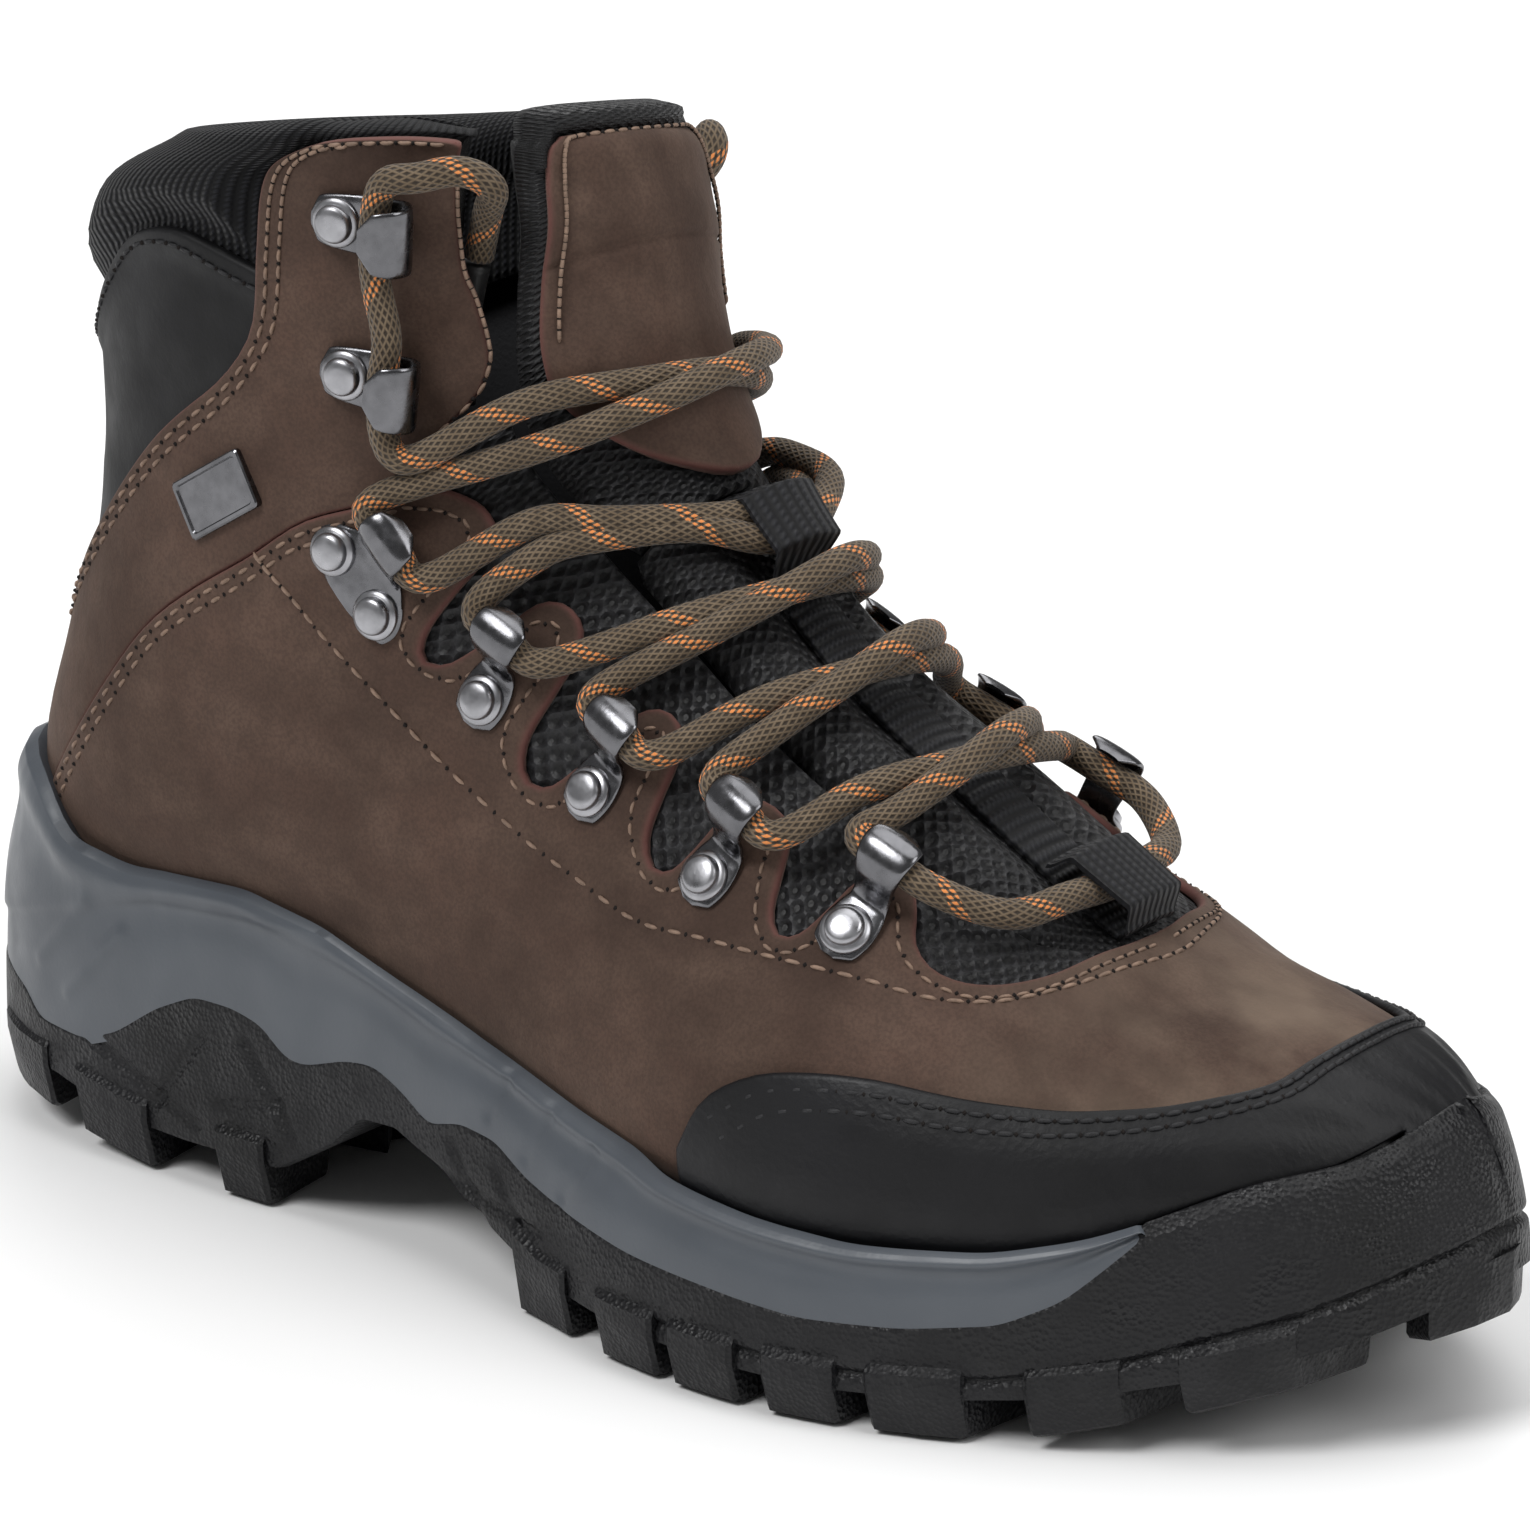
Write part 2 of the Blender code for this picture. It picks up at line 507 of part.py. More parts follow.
def lug_blocks():
    """Plan outlines of the tread blocks, each running past the sole's edge on its side."""
    xs = np.array([p[0] for p in WALL_LATERAL])
    lateral = np.array([p[1] for p in WALL_LATERAL])
    mx = np.array([p[0] for p in WALL_MEDIAL])[::-1]
    medial = np.array([p[1] for p in WALL_MEDIAL])[::-1]
    blocks = []
    for back, front, share in SIDE_LUGS:
        middle = (back + front) / 2
        for side, ys in ((-1, np.interp(middle, xs, lateral)), (1, np.interp(middle, mx, medial))):
            near = ys * share
            far = ys + side * 12.0
            slant = 3.0 if back > -20 else -2.0
            blocks.append([(back + slant, near), (front + slant, near), (front - 0.5, far), (back + 0.5, far)])
    blocks.append([(133, -3), (141, -9), (160, -12), (160, 22), (141, 20), (133, 13)])
    for back, front in MID_LUGS:
        y = 2.0 if back > -20 else 0.0
        wide = 12.0 if back > -20 else 8.0
        point = 5.0 if back > -20 else -4.0
        blocks.append([(back, y - wide), (front - 2, y - wide + 2), (front - 2 + point, y), (front - 2, y + wide - 2),
                       (back, y + wide), (back + point, y)])
    return blocks


def outsole():
    """The rubber: a terraced tread below, a side wall, a bumper round the toe and a tray for the midsole above."""
    w = SOLE
    count = len(w.outer)
    base = w.wall(SOLE_BASE)
    blocks = lug_blocks()
    points, faces = [], []
    for outline in [base] + blocks:
        ids = range(len(points), len(points) + len(outline))
        faces.append(list(ids) if turns_left(outline) else list(reversed(ids)))
        points += [Vector(p) for p in outline]
    found = delaunay_2d_cdt(points, [], faces, 1, 1e-6)
    flat = np.array([tuple(v) for v in found[0]])
    source = found[5]
    cells = []
    for f, own in zip(found[2], source):
        if 0 not in own:
            continue
        lug = any(k > 0 for k in own)
        for k in range(1, len(f) - 1):
            cells.append(((f[0], f[k], f[k + 1]), lug))
    heights = (table(TREAD, flat[:, 0]), table(LUG_FOOT, flat[:, 0]))
    vertices = []
    index = {}

    def vertex(i, lug):
        if (i, lug) not in index:
            index[(i, lug)] = len(vertices)
            vertices.append((flat[i, 0] * MM, flat[i, 1] * MM, heights[lug][i] * MM))
        return index[(i, lug)]

    out = []
    edges = {}
    for f, lug in cells:
        out.append(tuple(vertex(i, lug) for i in f))
        for a, b in zip(f, f[1:] + f[:1]):
            edges[(a, b)] = lug
    rim_next = {}
    for (a, b), lug in edges.items():
        other = edges.get((b, a))
        if other is None:
            rim_next[a] = (b, lug)
        elif lug and not other:
            out.append((vertex(a, True), vertex(b, True), vertex(b, False), vertex(a, False)))
    # Walk the stepped lower edge; each stretch of it joins two neighbours on the first ring of the wall.
    corner = {}
    for i, ids in enumerate(found[3]):
        for k in ids:
            if k < count:
                corner[i] = k
    start = next(i for i in corner if i in rim_next)
    walk, here = [], start
    while True:
        there, lug = rim_next[here]
        walk.append((here, there, lug))
        here = there
        if here == start:
            break
    stretches = []
    chain, before = [], corner[start]
    for a, b, lug in walk:
        for i in (a, b):
            v = vertex(i, lug)
            if not chain or chain[-1] != v:
                chain.append(v)
        if b in corner:
            after = corner[b]
            stretches.append((before, after, tuple(chain)))
            before, chain = after, []
    levels = []
    wall_top = w.lobe
    low = np.minimum(w.tread + 1.5, wall_top - 3)
    for share in (0.0, 0.3, 0.65, 1.0):
        z = low + (wall_top - low) * share
        levels.append(w.ring(w.wall(z), z))
    blend = w.front[:, None]
    tray = w.shifted(w.wall(wall_top), w.ledge)
    for stand, drop in ((w.lip, 0.3), (w.flare, 3.2), (w.flare, 9.0)):
        z = wall_top - drop * w.front - 0.3 * (drop > 1)
        plan = w.off_leather(stand, z) * blend + tray * (1 - blend)
        levels.append(w.ring(plan, z))
    levels.append(w.ring(plan, w.floor(plan)))
    offset = len(vertices)
    out += [(offset + after, offset + before) + low_edge for before, after, low_edge in stretches]
    for k in range(len(levels) - 1):
        out += band(offset + k * count, offset + (k + 1) * count, count)
    out += cap(levels[-1], offset + (len(levels) - 1) * count)
    return add("outsole", np.vstack([np.array(vertices)] + levels), out)


def plate(name, inset, bottom, thickness, x_from=-200.0, x_to=200.0, count=64):
    """A board that follows the last's bed, inset from the feather line."""
    line = even(SOLE.shifted(SOLE.inner[:, :2], inset), count, closed=True)
    line = line[(line[:, 0] > x_from) & (line[:, 0] < x_to)]
    z = table(BED, line[:, 0]) + bottom
    rings = [np.column_stack([line, z]) * MM, np.column_stack([line, z + thickness]) * MM]
    return loft(name, rings)


def bar(name, x_from, x_to, half_width, bottom, thickness):
    """A flat strip along the middle of the bed, with rounded ends."""
    angles = np.linspace(-90, 90, 7) * math.pi / 180
    ends = [(x_to - half_width + half_width * math.cos(a), half_width * math.sin(a)) for a in angles]
    backs = [(x_from + half_width - half_width * math.cos(a), half_width * math.sin(-a)) for a in angles]
    middle_x = np.linspace(x_to - half_width, x_from + half_width, 9)[1:-1]
    line = np.array(ends + [(x, half_width) for x in middle_x] + backs
                    + [(x, -half_width) for x in middle_x[::-1]])
    z = table(BED, line[:, 0]) + bottom
    return loft(name, [np.column_stack([line, z]) * MM, np.column_stack([line, z + thickness]) * MM])


def strap(name, place, stations, thickness=0.9):
    """A bent metal strap: stations are (in, height, half width) from the rivet end, in millimetres from place."""
    point, normal, up, inward = place
    p = np.array(stations, float)
    line = p[:, :2]
    ahead = np.gradient(line, axis=0)
    ahead /= np.linalg.norm(ahead, axis=1, keepdims=True)
    side = np.stack([-ahead[:, 1], ahead[:, 0]], 1)
    vertices = []
    for (x, z), (sx, sz), half in zip(line, side, p[:, 2]):
        for t in (0.5, -0.5):
            for w in (-half, half):
                vertices.append(point + (inward * (x + sx * t * thickness) + normal * (z + sz * t * thickness)
                                         + up * w) * MM)
    faces = []
    for k in range(len(p) - 1):
        a, b = 4 * k, 4 * k + 4
        for i, j in ((0, 1), (1, 3), (3, 2), (2, 0)):
            faces.append((a + i, a + j, b + j, b + i))
    end = 4 * (len(p) - 1)
    faces += [(0, 1, 3, 2), (end, end + 1, end + 3, end + 2)]
    return add(name, vertices, faces)


def rivet(name, place, x, y, z=1.35, radius=3.9, height=2.1):
    """A domed rivet head on a fitting."""
    point, normal, up, inward = place
    centre = point + (inward * x + up * y + normal * z) * MM
    rings, sides = [], 14
    for r, h in ((radius, 0.0), (radius, 0.7), (radius * 0.86, height * 0.72), (radius * 0.45, height)):
        rings.append([centre + (inward * math.cos(a) * r + up * math.sin(a) * r + normal * h) * MM
                      for a in np.linspace(0, 2 * math.pi, sides, endpoint=False)])
    faces = [tuple(range(sides)), tuple(range(3 * sides, 4 * sides))]
    for k in range(3):
        faces += band(k * sides, (k + 1) * sides, sides)
    return add(name, np.vstack(rings), faces)


def hooked(side):
    """Loops, lock and hooks with their rivets on one side; returns their places for the lace."""
    word = "lateral" if side < 0 else "medial"
    places = []
    for k, (s, u) in enumerate(LOOPS):
        place = LAST.frame(s, side * u)
        strap(f"eyelet_loop_{k + 1}_{word}", place,
              [(-4.8, 0.85, 2.4), (-3, 0.85, 4.2), (0, 0.85, 4.8), (3, 0.85, 4.3), (5.4, 1.0, 3.3), (7.0, 3.0, 3.1),
               (8.0, 5.6, 3.4), (9.9, 7.7, 3.9), (12.4, 8.3, 4.2), (14.6, 7.6, 4.0), (16.0, 6.3, 3.5)])
        rivet(f"rivet_loop_{k + 1}_{word}", place, 0, 0)
        places.append(place)
    lock = LAST.frame(LOCK[0], side * LOCK[1])
    strap(f"eyelet_lock_{word}", lock,
          [(-4.9, 0.85, 7.5), (-3, 0.85, 9.8), (0, 0.85, 10.8), (3, 0.85, 9.2), (5.6, 1.0, 5.6), (7.2, 3.0, 4.4),
           (8.2, 5.6, 4.4), (10.1, 7.7, 4.6), (12.6, 8.3, 4.6), (14.7, 7.6, 4.2), (16.1, 6.3, 3.6)])
    rivet(f"rivet_lock_upper_{word}", lock, -0.3, 6.2)
    rivet(f"rivet_lock_lower_{word}", lock, -0.3, -6.2)
    places.append(lock)
    for k, (s, u) in enumerate(HOOKS):
        place = LAST.frame(s, side * u)
        strap(f"speed_hook_{k + 1}_{word}", place,
              [(-5.2, 0.85, 2.6), (-3, 0.85, 4.9), (0, 0.85, 5.8), (5, 0.85, 5.4), (9.5, 0.9, 5.0),
               (12.2, 1.9, 5.0), (13.8, 4.6, 4.8), (13.0, 7.4, 4.5), (10.4, 8.7, 3.9), (7.6, 8.3, 3.0)])
        rivet(f"rivet_hook_{k + 1}_{word}", place, 0, 0)
        places.append(place)
    return places


def held(place, x, y, z):
    """A point near a fitting, in its own directions: towards the tongue, up the facing and away from the boot."""
    point, normal, up, inward = place
    return point + (inward * x + up * y + normal * z) * MM


def over(s, u, h):
    return LAST.point(s, u, h * MM)


# The two strands that pass under the top keeper, from the lateral side to the medial one, as (s, u, height in mm).
KEPT_RISING = [(11.2, -0.205, 4.6), (11.0, -0.16, 4.8), (10.6, -0.09, 4.2), (10.22, -0.04, 2.9), (10.15, 0.0, 2.7),
               (10.22, 0.045, 2.8), (10.42, 0.08, 5.2), (10.7, 0.115, 8.0), (11.05, 0.145, 6.8), (11.4, 0.19, 4.8)]
KEPT_FALLING = [(11.45, -0.195, 4.6), (11.1, -0.15, 5.2), (10.75, -0.1, 4.6), (10.5, -0.045, 3.0), (10.45, 0.0, 2.8),
                (10.45, 0.045, 2.9), (10.55, 0.1, 3.3), (10.9, 0.15, 4.2), (11.15, 0.2, 4.6)]
# The free end: up from inside, over the flap's edge.
TAIL = [(13.1, 0.238, -10.2), (14.0, 0.232, -9.8), (15.0, 0.214, -7.6), (15.7, 0.2, -2.5), (16.15, 0.193, 2.6),
        (16.6, 0.205, 5.2), (17.0, 0.235, 5.8)]


# How far the strands from each pair of fittings dip towards the toe in the middle, in sections.
SAG = (0.42, 0.5, 0.65, 0.0, 1.1)


def crossing(low, high, rising_from_lateral):
    """Points over the tongue from fitting number low on one side to number high on the other, from low to high."""
    if (low, high) == (3, 4):
        rows = KEPT_RISING if rising_from_lateral else [(s, u, h) for s, u, h in KEPT_FALLING[::-1]]
        return [over(*row) for row in rows]
    stations = [s for s, _ in LOOPS] + [LOCK[0], HOOKS[0][0] - 0.45]
    s0 = stations[low] + 0.3
    s1 = stations[high] - (0.35 if high == 5 else 0.25)
    side = -1 if rising_from_lateral else 1
    lift = 2.6 if rising_from_lateral else -2.5
    base = 6.2 if high == 5 else 5.6
    points = []
    for t, h in ((0.17, 4.4), (0.36, base - 0.5 + 0.6 * lift), (0.5, base + lift), (0.64, base - 0.5 + 0.6 * lift),
                 (0.83, 4.4)):
        s = s0 + (s1 - s0) * (0.1 + 0.8 * t) - SAG[low] * 4 * t * (1 - t)
        points.append(over(s, side * (0.235 - 0.47 * t), h))
    return points


def lace_path(lateral, medial):
    """Points of the single lace from its lateral end to its medial end."""
    def rising(place):
        return [held(place, 11.9, y, 4.55) for y in (-7.6, 0.0, 7.6)]

    def hook_rising(place):
        return [held(place, x, y, z) for x, y, z in ((15, -9.8, 4.8), (10.0, -8.8, 4.7), (8.0, 0, 4.6), (8.4, 8, 4.4))]

    def tail(side, places):
        top = [held(places[6], x, y, z) for x, y, z in ((15, 10.2, 5.4), (9.6, 9.0, 5.0), (7.9, 0, 4.6), (8.4, -8, 4.4))]
        return [over(s, side * u, h) for s, u, h in TAIL] + top

    halves = []
    for side, own in ((-1, medial), (1, lateral)):
        # Both halves rise from the bottom bar; this one ends on the given side.
        points = []
        here = own
        for k in range(5):
            points += rising(here[k])
            points += crossing(k, k + 1, here is lateral)
            here = lateral if here is medial else medial
        points += hook_rising(here[5]) + tail(side, here)[::-1]
        halves.append(points)
    bottom = [over(7.25 - 0.35 * math.sin(math.pi * t), 0.22 - 0.44 * t, h)
              for t, h in ((0.12, 3.8), (0.3, 2.8), (0.5, 1.4), (0.7, 2.8), (0.88, 3.8))]
    return np.array(halves[0][::-1] + bottom + halves[1])


def tube(name, path, radius, sides=7):
    """A closed tube along path."""
    p = np.asarray(path, float)
    ahead = np.gradient(p, axis=0)
    ahead /= np.linalg.norm(ahead, axis=1, keepdims=True)
    across = np.cross(ahead[0], [0.3, 0.2, 1.0])
    vertices = []
    for point, t in zip(p, ahead):
        across = across - t * np.dot(across, t)
        across /= np.linalg.norm(across)
        other = np.cross(t, across)
        for a in np.linspace(0, 2 * math.pi, sides, endpoint=False):
            vertices.append(point + (across * math.cos(a) + other * math.sin(a)) * radius)
    faces = [tuple(range(sides)), tuple(range((len(p) - 1) * sides, len(p) * sides))]
    for k in range(len(p) - 1):
        faces += band(k * sides, (k + 1) * sides, sides)
    return add(name, vertices, faces)


def collar_outer(s, u):
    """Height of the collar's knit: low under the leather and the heel patch, full above them."""
    points = np.column_stack([s * S_SIZE, (-np.abs((u + 1.0) % 2.0 - 1.0)) * U_SIZE])
    flap = np.array(FLAP) * [S_SIZE, U_SIZE]
    patch = np.array(PATCH_TOP + PATCH_FOOT) * [S_SIZE, U_SIZE]
    clear = np.full(len(points), np.inf)
    for loop in (flap, patch):
        away = distance(points, loop)
        away[inside(points, loop)] = 0.0
        clear = np.minimum(clear, away)
    return -4.4 * MM + 3.6 * MM * smoothstep(5.5, 11.0, clear)


def collar():
    """The padded knit roll round the top, open at the front."""
    us = np.linspace(-0.245, -1.755, 61)
    vertices, count = [], 12
    for u in us:
        edge = min(abs(u + 0.245), abs(u + 1.755)) / 0.12
        thick = 2.8 + 1.6 * min(edge, 1.0)
        outer_s = np.array([15.62, 16.2, 16.8, 17.4, 17.9, 18.25])
        high = collar_outer(outer_s, np.full(6, u)) / MM
        high[0] = min(high[0], -4.4)
        high[5] -= 0.8
        inner_s = np.array([18.3, 18.0, 17.4, 16.8, 16.2, 15.62])
        low = np.array([-4.4 - thick * 0.45, -4.4 - thick * 0.85, -4.4 - thick, -4.4 - thick, -4.4 - thick * 0.9,
                        -4.4 - thick * 0.6])
        vertices.append(LAST.point(np.r_[outer_s, inner_s], u, np.r_[high, low] * MM))
    faces = [tuple(range(count)), tuple(range((len(us) - 1) * count, len(us) * count))]
    for k in range(len(us) - 1):
        faces += band(k * count, (k + 1) * count, count)
    return add("collar", np.vstack(vertices), faces)


def tongue_high(s, u):
    """The tongue's padded top: a flat middle for the webbing between two pads."""
    across = np.abs(u)
    pads = smoothstep(0.062, 0.09, across) * (1 - smoothstep(0.125, 0.165, across))
    start = smoothstep(6.7, 7.4, s)
    return (-2.6 + (0.2 + 2.3 * pads) * start - 0.9 * smoothstep(0.12, 0.16, across)) * MM


def rand_lift(s, u):
    """Height of the toe cap's underside, which stands further off where its tips run back along the rim."""
    return (0.6 + 0.7 * smoothstep(7.0, 7.7, s)) * MM


def build():
    outsole()
    midsole()
    bar("shank", -85, 35, 9, -1.6, 1.2)
    plate("insole_board", 8.0, 0.0, 1.8)
    plate("footbed", 10.5, 2.2, 3.6)

    seam_l = thin(SEAM, 6)
    tabs_l = thin([SEAM[-1]] + TABS, 4.5)
    seam = [tuple(p) for p in seam_l[1:-1]]
    tabs = [tuple(p) for p in tabs_l]
    # The vamp: down one side's seam and facing, across the throat, and back on the other side.
    lower_l = tucked(12.4, 7.75, -1, 0.045, 18)
    lower_m = tucked(12.4, 7.75, 1, 0.045, 18)
    front = [(s - 0.45 * (1 - min(abs(u) / 0.45, 1)), u - 0.06 * min(abs(u) / 0.2, 1)) for s, u in thin(CAP[3:], 8)]
    vamp = seam + tabs + mirrored(tabs[:-1]) + mirrored(seam) + lower_m + [(s, -u) for s, u in front]
    vamp += list(reversed(front[:-1])) + list(reversed(lower_l))
    panel("vamp", vamp, 0.0, -1.6 * MM, 7.0)

    for side, word in ((-1, "lateral"), (1, "medial")):
        flap = [tuple(p) for p in thin(FLAP, 7)]
        below = [(s + 0.07, u) for s, u in thin(SEAM, 9)][1:]
        heel = [(13.7, -0.997), (13.25, -0.997), (12.95, -0.985)]
        quarter = flap + heel + below[:-1]
        if side > 0:
            quarter = mirrored(quarter)
        panel(f"ankle_quarter_{word}", quarter, -0.9 * MM, -2.3 * MM, 8.0)
        cover = [(6.9, -0.17), (7.6, -0.168), (9.0, -0.168), (11.0, -0.17), (12.75, -0.178), (12.75, -0.3),
                 (12.3, -0.37), (11.5, -0.43), (10.6, -0.46), (9.6, -0.44), (8.6, -0.39), (7.6, -0.32),
                 (6.9, -0.29), (6.5, -0.21)]
        if side > 0:
            cover = mirrored(cover)
        panel(f"gusset_{word}", cover, -2.7 * MM, -3.7 * MM, 8.0)

    cap_edge = [tuple(p) for p in thin(CAP, 7)]
    below_l = tucked(8.25, 2.2, -1, 0.03, 18)
    below_m = tucked(8.25, 2.2, 1, 0.03, 18)
    toe = [(1.75, -0.4), (1.45, -0.2), (1.35, 0.0), (1.45, 0.2), (1.75, 0.4)]
    rand = cap_edge + mirrored(cap_edge[:-1]) + below_m + list(reversed(toe)) + list(reversed(below_l))
    panel("toe_cap", rand, lambda s, u: rand_lift(s, u) + 1.1 * MM, rand_lift, 6.5)
    puff = [(2.2, -0.35), (3.4, -0.42), (4.6, -0.42), (5.4, -0.3), (5.7, 0.0), (5.4, 0.3), (4.6, 0.42),
            (3.4, 0.42), (2.2, 0.35), (1.9, 0.0)]
    panel("toe_puff", puff, -2.0 * MM, -2.9 * MM, 9.0)

    patch = [tuple(p) for p in thin(PATCH_TOP, 7)] + [tuple(p) for p in thin(PATCH_FOOT, 9)]
    other = [(s, -2.0 - u) for s, u in reversed(patch)]
    half = len(thin(PATCH_TOP, 7))
    whole = patch[:half - 1] + other[len(other) - half:] + other[:len(other) - half] + patch[half + 1:]
    panel("heel_patch", whole, -2.8 * MM, -3.7 * MM, 7.0)
    counter = [(15.3, -0.62), (15.4, -0.8), (15.35, -1.0), (15.4, -1.2), (15.3, -1.38), (14.2, -1.42),
               (13.4, -1.3), (13.3, -1.1), (13.3, -1.0), (13.3, -0.9), (13.4, -0.7), (14.2, -0.58)]
    panel("heel_counter", counter, -4.4 * MM, -5.0 * MM, 7.5)

    collar()
    sock_l = tucked(12.2, 2.6, -1, 0.02, 22)
    sock_m = tucked(12.2, 2.6, 1, 0.02, 22)
    sock = [(5.8, 0.0), (6.1, -0.16), (7.0, -0.26), (8.0, -0.3), (9.5, -0.33), (11.0, -0.33), (12.6, -0.29),
            (14.0, -0.265), (15.45, -0.255), (15.45, -0.5), (15.45, -0.75), (15.45, -1.0)]
    sock_half = sock + [(13.3, -1.0)]
    sock_half += [(12.95, -0.97), (12.6, -0.93)] + sock_l + [(2.2, -0.35), (2.0, 0.0)]
    for side, word in ((-1, "lateral"), (1, "medial")):
        shape = [(s, max(u, -0.997) if u > -0.99 else -0.997) for s, u in sock_half]
        shape[0], shape[-1] = (5.8, -0.004), (2.0, -0.004)
        if side > 0:
            shape = mirrored(shape)
        panel(f"lining_{word}", shape, -6.4 * MM, -7.1 * MM, 9.0)

    lower = [(6.55, -0.12), (6.9, -0.155), (8.0, -0.16), (9.4, -0.16), (10.5, -0.16), (10.7, -0.15), (10.7, 0.15),
             (10.5, 0.16), (9.4, 0.16), (8.0, 0.16), (6.9, 0.155), (6.55, 0.12), (6.1, 0.06), (6.1, -0.06)]
    panel("tongue_lower", lower, tongue_high, -5.4 * MM, 4.2)
    upper = [(10.82, -0.14), (11.2, -0.158), (12.5, -0.162), (14.5, -0.165), (16.5, -0.17), (18.2, -0.172),
             (18.6, -0.16), (18.75, -0.12), (18.8, 0.0), (18.75, 0.12), (18.6, 0.16), (18.2, 0.172),
             (16.5, 0.17), (14.5, 0.165), (12.5, 0.162), (11.2, 0.158), (10.82, 0.14)]
    panel("tongue_upper", upper, -1.8 * MM, -6.6 * MM, 7.0)
    panel_line = [(18.3, -0.155), (18.35, -0.1), (18.35, 0.1), (18.3, 0.155), (17.0, 0.155), (15.0, 0.15),
             (13.0, 0.145), (12.1, 0.13), (11.4, 0.09), (10.98, 0.035), (10.88, 0.0), (10.98, -0.035),
             (11.4, -0.09), (12.1, -0.13), (13.0, -0.145), (15.0, -0.15), (17.0, -0.155)]
    panel("tongue_patch", panel_line, 0.4 * MM, -0.7 * MM, 7.0)
    webbing = [(6.8, -0.04), (9.9, -0.04), (9.9, 0.04), (6.8, 0.04)]
    panel("tongue_webbing", thin(webbing + webbing[:1], 7)[:-1], lambda s, u: tongue_high(s, u) + 1.8 * MM,
          lambda s, u: tongue_high(s, u) + 1.0 * MM, 4.2)

    return hooked(-1), hooked(1)


def keeper(name, s_from, s_to, half_u, low, high):
    """A webbing loop on the tongue, stitched at both ends, that strands run under."""
    stations = np.linspace(s_from, s_to, 15)
    share = np.abs(2 * (stations - s_from) / (s_to - s_from) - 1)
    rise = low + (high - low) * smoothstep(0.0, 0.22, 1 - share)
    us = (-half_u, 0.0, half_u)
    rings = []
    for s, h in zip(stations, rise):
        rings.append([over(s, u, h) for u in us] + [over(s, u, h + 0.8) for u in us[::-1]])
    faces = [tuple(range(6)), tuple(range(14 * 6, 15 * 6))]
    for k in range(14):
        faces += band(6 * k, 6 * k + 6, 6)
    return add(name, np.vstack(rings), faces)


def hinge(name, place, *pieces):
    """An empty on a joint's axis, with the pieces that turn about it; place is in the row's frame, in millimetres."""
    empty = bpy.data.objects.new(name, None)
    empty.location = Vector(place) * MM
    bpy.context.scene.collection.objects.link(empty)
    for piece in pieces:
        piece.parent = empty
        piece.matrix_parent_inverse = Matrix.Translation(-empty.location)


for leftover in list(bpy.data.objects):
    bpy.data.objects.remove(leftover)
LATERAL, MEDIAL = build()
# The lace is drawn from a fine even line; its first and last few points are the two tips.
LINE = lace_path(LATERAL, MEDIAL)
LINE = even(spline(LINE, len(LINE) * 6), LACE_POINTS)
tube("lace", LINE[6:-6:3], LACE_RADIUS)
tube("aglet_lateral", LINE[:5], LACE_RADIUS)
tube("aglet_medial", LINE[-5:], LACE_RADIUS)
keeper("lace_keeper_top", 9.9, 10.68, 0.042, -0.2, 6.0)
keeper("lace_keeper_bottom", 6.52, 7.22, 0.05, 0.2, 4.6)
strap("badge", LAST.frame(13.95, -0.53), [(x, 0.1, 5.0) for x in (-8, -4, 0, 4, 8)], 1.0)
hinge("tongue_axis", (-6.3, 0.0, 117.9), bpy.data.objects["tongue_upper"], bpy.data.objects["tongue_patch"])
hinge("footbed_axis", (123.0, 0.0, 26.7), bpy.data.objects["footbed"])
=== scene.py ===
"""Looks of the hiking boot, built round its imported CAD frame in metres: +X toe, +Y inner side, +Z up.

Upper pieces lie on one last surface. A place on it is (s, u): s counts the last's sections from the toe (0)
to the collar (18), and u runs round a section, 0 on top and -1 or +1 underneath, negative on the outer side.
Heights above the surface, and the tables below, are in millimetres.
"""

import math

import bmesh
import bpy
import numpy as np
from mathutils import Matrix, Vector
from mathutils.geometry import delaunay_2d_cdt


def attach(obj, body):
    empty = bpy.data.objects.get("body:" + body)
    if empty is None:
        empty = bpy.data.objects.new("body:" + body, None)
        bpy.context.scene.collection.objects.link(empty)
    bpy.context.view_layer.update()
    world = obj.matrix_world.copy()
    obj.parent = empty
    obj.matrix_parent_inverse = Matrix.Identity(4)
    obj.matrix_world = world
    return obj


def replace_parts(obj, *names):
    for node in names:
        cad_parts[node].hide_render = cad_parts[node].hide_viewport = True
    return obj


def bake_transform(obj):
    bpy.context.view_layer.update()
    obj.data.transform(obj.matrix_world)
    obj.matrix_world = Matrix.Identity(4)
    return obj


MM = 0.001
# The last is drawn with its heel seam on the axis; this puts the bounding box's centre there.
SHIFT = np.array([-4.0, -4.7, 0.0]) * MM

